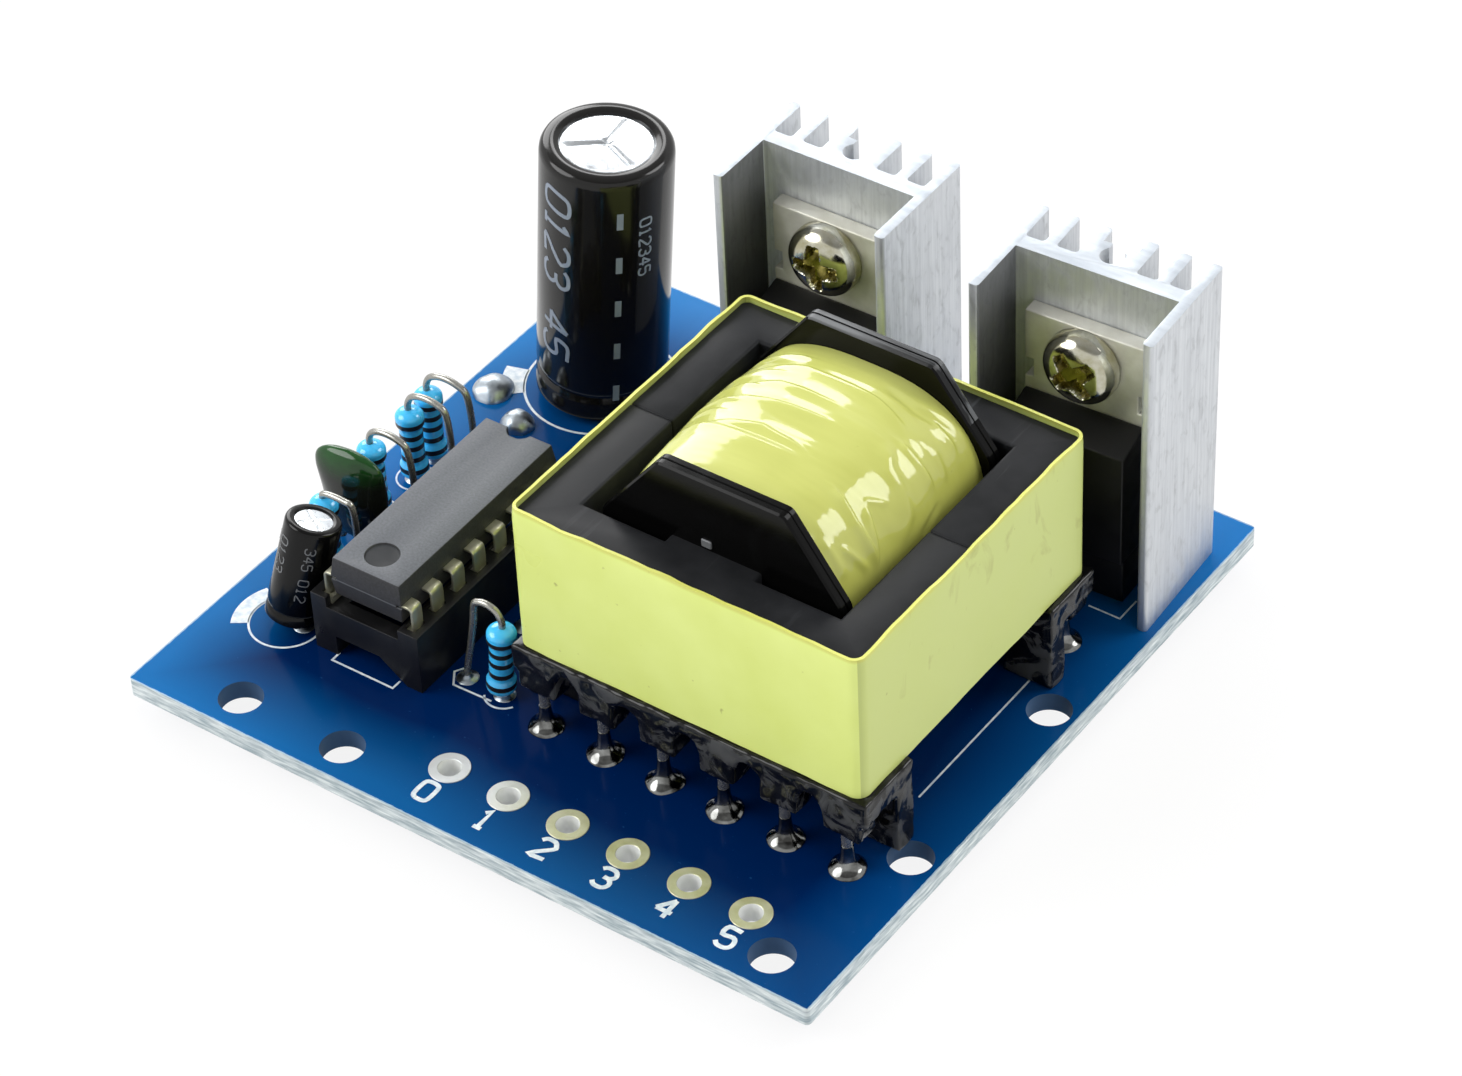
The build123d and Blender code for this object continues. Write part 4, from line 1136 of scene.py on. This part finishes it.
def screw_head():
    # pan head with a worn cross recess, axis along +Z; returns the head and its recess
    steps, levels, radius, rim = 120, 44, 2.95, 0.75
    turn = circle(steps)
    edge = ((radius * 0.96, 0.0), (radius, 0.12), (radius, rim))
    stack = [[(r * c, r * s, z) for _, c, s in turn] for r, z in edge]
    sunk = [0.0] * (steps * len(edge))
    for q in range(levels + 1):
        r = radius * cos(pi / 2 * q / levels) ** 0.9 if q < levels else 0.001
        dome = rim + 1.55 * sqrt(max(0.0, 1 - (r / radius) ** 2.6))
        ring = []
        for _, c, s in turn:
            arm, out = sorted((abs(r * c), abs(r * s)))
            wide = 0.46 + 0.26 * max(0.0, 1 - out / 1.9)
            inside = ease(clamp((wide - arm) / 0.16 + 0.5) * clamp((1.85 - out) / 0.22 + 0.5))
            ring.append((r * c, r * s, dome - inside * (0.85 + 0.55 * max(0.0, 1 - r / 1.4))))
            sunk.append(inside)
        stack.append(ring)
    verts, faces, _ = rings(stack, "screw")
    rest, deep = parted(faces, lambda face: min(sunk[i] for i in face) > 0.35)
    return [(verts, rest, "screw"), (verts, deep, "recess")]


def make_coolers():
    for side, x, y, turn, spin in COOLERS:
        transistor = "transistor_" + side
        soften("heatsink_" + side, "aluminium_" + side, 0.07)
        soften(transistor + "_tab", "tab", 0.12)
        soften(transistor + "_case", "case", 0.15, 3)
        soften(transistor + "_spacer", "case", 0.15)
        paint(transistor + "_leads", "lead")
        face = place(x, y, BOARD_TOP, turn) @ place(TRANSISTOR_X, WEB_FRONT - TAB_THICK, SCREW_H, lean_y=-90)
        shank = lathe([(0.0, -4.35), (1.4, -4.35), (1.5, -4.2), (1.5, 0.05), (0.0, 0.05)], "screw", 40)
        head = [moved(part, face @ place(0, 0, 0, spin)) for part in screw_head()]
        piece("heatsink_screw_" + side, head + [moved(shank, face)], ("heatsink_screws",), 45)
    paint("heatsink_pins", "lead")


# solder

def make_solder():
    domes = []
    for number, (x, y, radius, tall) in enumerate(INPUT_JOINTS):
        angles = [pi / 2 * i / 14 for i in range(15)]
        profile = [(max(0.001, radius * cos(t)), tall * sin(t) ** 1.1) for t in angles]
        dome = lathe(profile, "solder", 48, uneven(number * 4.0, 0.12, 1.3, 1.0))
        domes.append(moved(dome, place(x, y, BOARD_TOP)))
    piece("input_joints", domes, ("input_solder",), 60)
    pads = []
    spots = [r[2:4] for r in RESISTORS] + [r[:2] for r in RESISTORS]
    spots += [(-21.1, 14.07), (-21.1, 19.07), (-24.93, -18.01), (-22.93, -18.01)]
    for number, (x, y) in enumerate(spots):
        wide = 0.85 + 0.08 * wave(number * 1.7, 0.4, 0.2)
        profile = [(0.0, 0.0), (wide, 0.0), (wide * 0.96, 0.05), (wide * 0.6, 0.13),
                   (0.34, 0.3), (0.3, 0.42), (0.0, 0.42)]
        pads.append(moved(lathe(profile, "solder", 28), place(x, y, BOARD_TOP)))
    piece("component_pads", pads, (), 60)
    for node in ("underside_solder", "underside_flat_solder"):
        paint(node, "solder")


# stage, light and camera

def make_floor():
    # white, and partly glowing for the rays that look at it
    half = 3.0
    mesh = bpy.data.meshes.new("floor")
    square = [(-half, -half, 0), (half, -half, 0), (half, half, 0), (-half, half, 0)]
    mesh.from_pydata(square, [], [(0, 1, 2, 3)])
    floor = add("floor", mesh)
    look = Material("floor_white", (0.9, 0.9, 0.9, 1), 0.9, spec=0.0)
    share = look.times(look.rays("Camera", "Glossy", "Transmission"), 0.88)
    glow = look.make("Emission", 0, {"Strength": 1.0})
    blend = look.make("MixShader", 0, {0: share, 1: look.shader.outputs[0], 2: glow})
    look.put(look.tree.nodes["Material Output"], 0, blend)
    mesh.materials.append(look.mat)


def make_studio():
    world = bpy.data.worlds.new("studio")
    bpy.context.scene.world = world
    world.use_nodes = True
    sky = Tree(world.node_tree)
    # the studio is brighter to the left and behind, and darker where the camera stands
    way = sky.make("TexCoord", "Generated", {})
    dot = sky.make("VectorMath", "Value", {0: way, 1: (-0.62, 0.55, 0.56)}, operation="DOT_PRODUCT")
    room = sky.span(dot, -1.0, 1.0, 0.06, 0.62)
    # glossy rays see the white backdrop too, up to its upper edge
    sweep = sky.span(sky.make("SeparateXYZ", 2, {0: way}), 0.63, 0.70, 1.0, 0.3)
    mirrored = sky.times(sky.rays("Glossy"), sweep)
    backdrop = sky.math("MAXIMUM", sky.rays("Camera", "Transmission"), mirrored)
    back = sky.tree.nodes["Background"]
    sky.put(back, "Strength", sky.math("MAXIMUM", room, backdrop))
    sky.put(back, "Color", (1.0, 1.0, 1.0, 1))


def aim(made, spot, turn):
    made.location = spot
    made.rotation_mode = "QUATERNION"
    made.rotation_quaternion = turn


def make_lamps():
    # place, size, power, and whether glossy surfaces show it
    lamps = (
        ("key", (-0.50, -0.42, 0.50), 0.60, 4.6, True),
        ("fill", (0.62, -0.12, 0.30), 0.50, 1.2, False),
        ("top", (0.05, 0.15, 0.85), 0.60, 1.5, False),
        ("window", (0.317, 0.36, 0.398), 0.32, 1.5, True),
        ("side", (-0.51, 0.38, 0.31), 0.40, 2.0, True),
        ("rear", (-0.255, 0.434, 0.356), 0.14, 0.3, True),
    )
    target = Vector((0, 0, 0.012))
    for name, spot, size, power, shown in lamps:
        light = bpy.data.lights.new(name, "AREA")
        light.shape = "DISK"
        light.size = size
        light.energy = power
        lamp = add(name, light)
        lamp.visible_glossy = shown
        aim(lamp, spot, (target - Vector(spot)).to_track_quat("-Z", "Y"))


def make_camera():
    # pinhole fitted to the photo: focal length and centre in its pixels
    width, height = 1462, 1076
    focal, centre_x, centre_y = 4777.101, 706.833, 528.757
    sensor = 36.0
    data = bpy.data.cameras.new("photo_camera")
    data.sensor_fit = "HORIZONTAL"
    data.sensor_width = sensor
    data.lens = focal * sensor / width
    data.shift_x = (width / 2 - centre_x) / width
    data.shift_y = (centre_y - height / 2) / width
    data.clip_start, data.clip_end = 0.01, 20.0
    turn = Vector((2.2099, 0.6861, -0.3677))
    to_camera = Quaternion(turn.normalized(), turn.length).to_matrix()
    flip = Matrix(((1, 0, 0), (0, -1, 0), (0, 0, -1)))
    camera = add("photo_camera", data)
    aim(camera, (0.161574, -0.207898, 0.239272), (to_camera.transposed() @ flip).to_quaternion())
    bpy.context.scene.camera = camera


make_camera()
make_floor()
make_studio()
make_lamps()
make_board()
make_silkscreen()
make_cores()
make_core_tape()
make_winding()
make_bobbin()
make_pin_solder()
make_chip()
make_capacitors()
make_resistors()
make_film_cap()
make_coolers()
make_solder()

scene = bpy.context.scene
scene.view_settings.view_transform = "Standard"
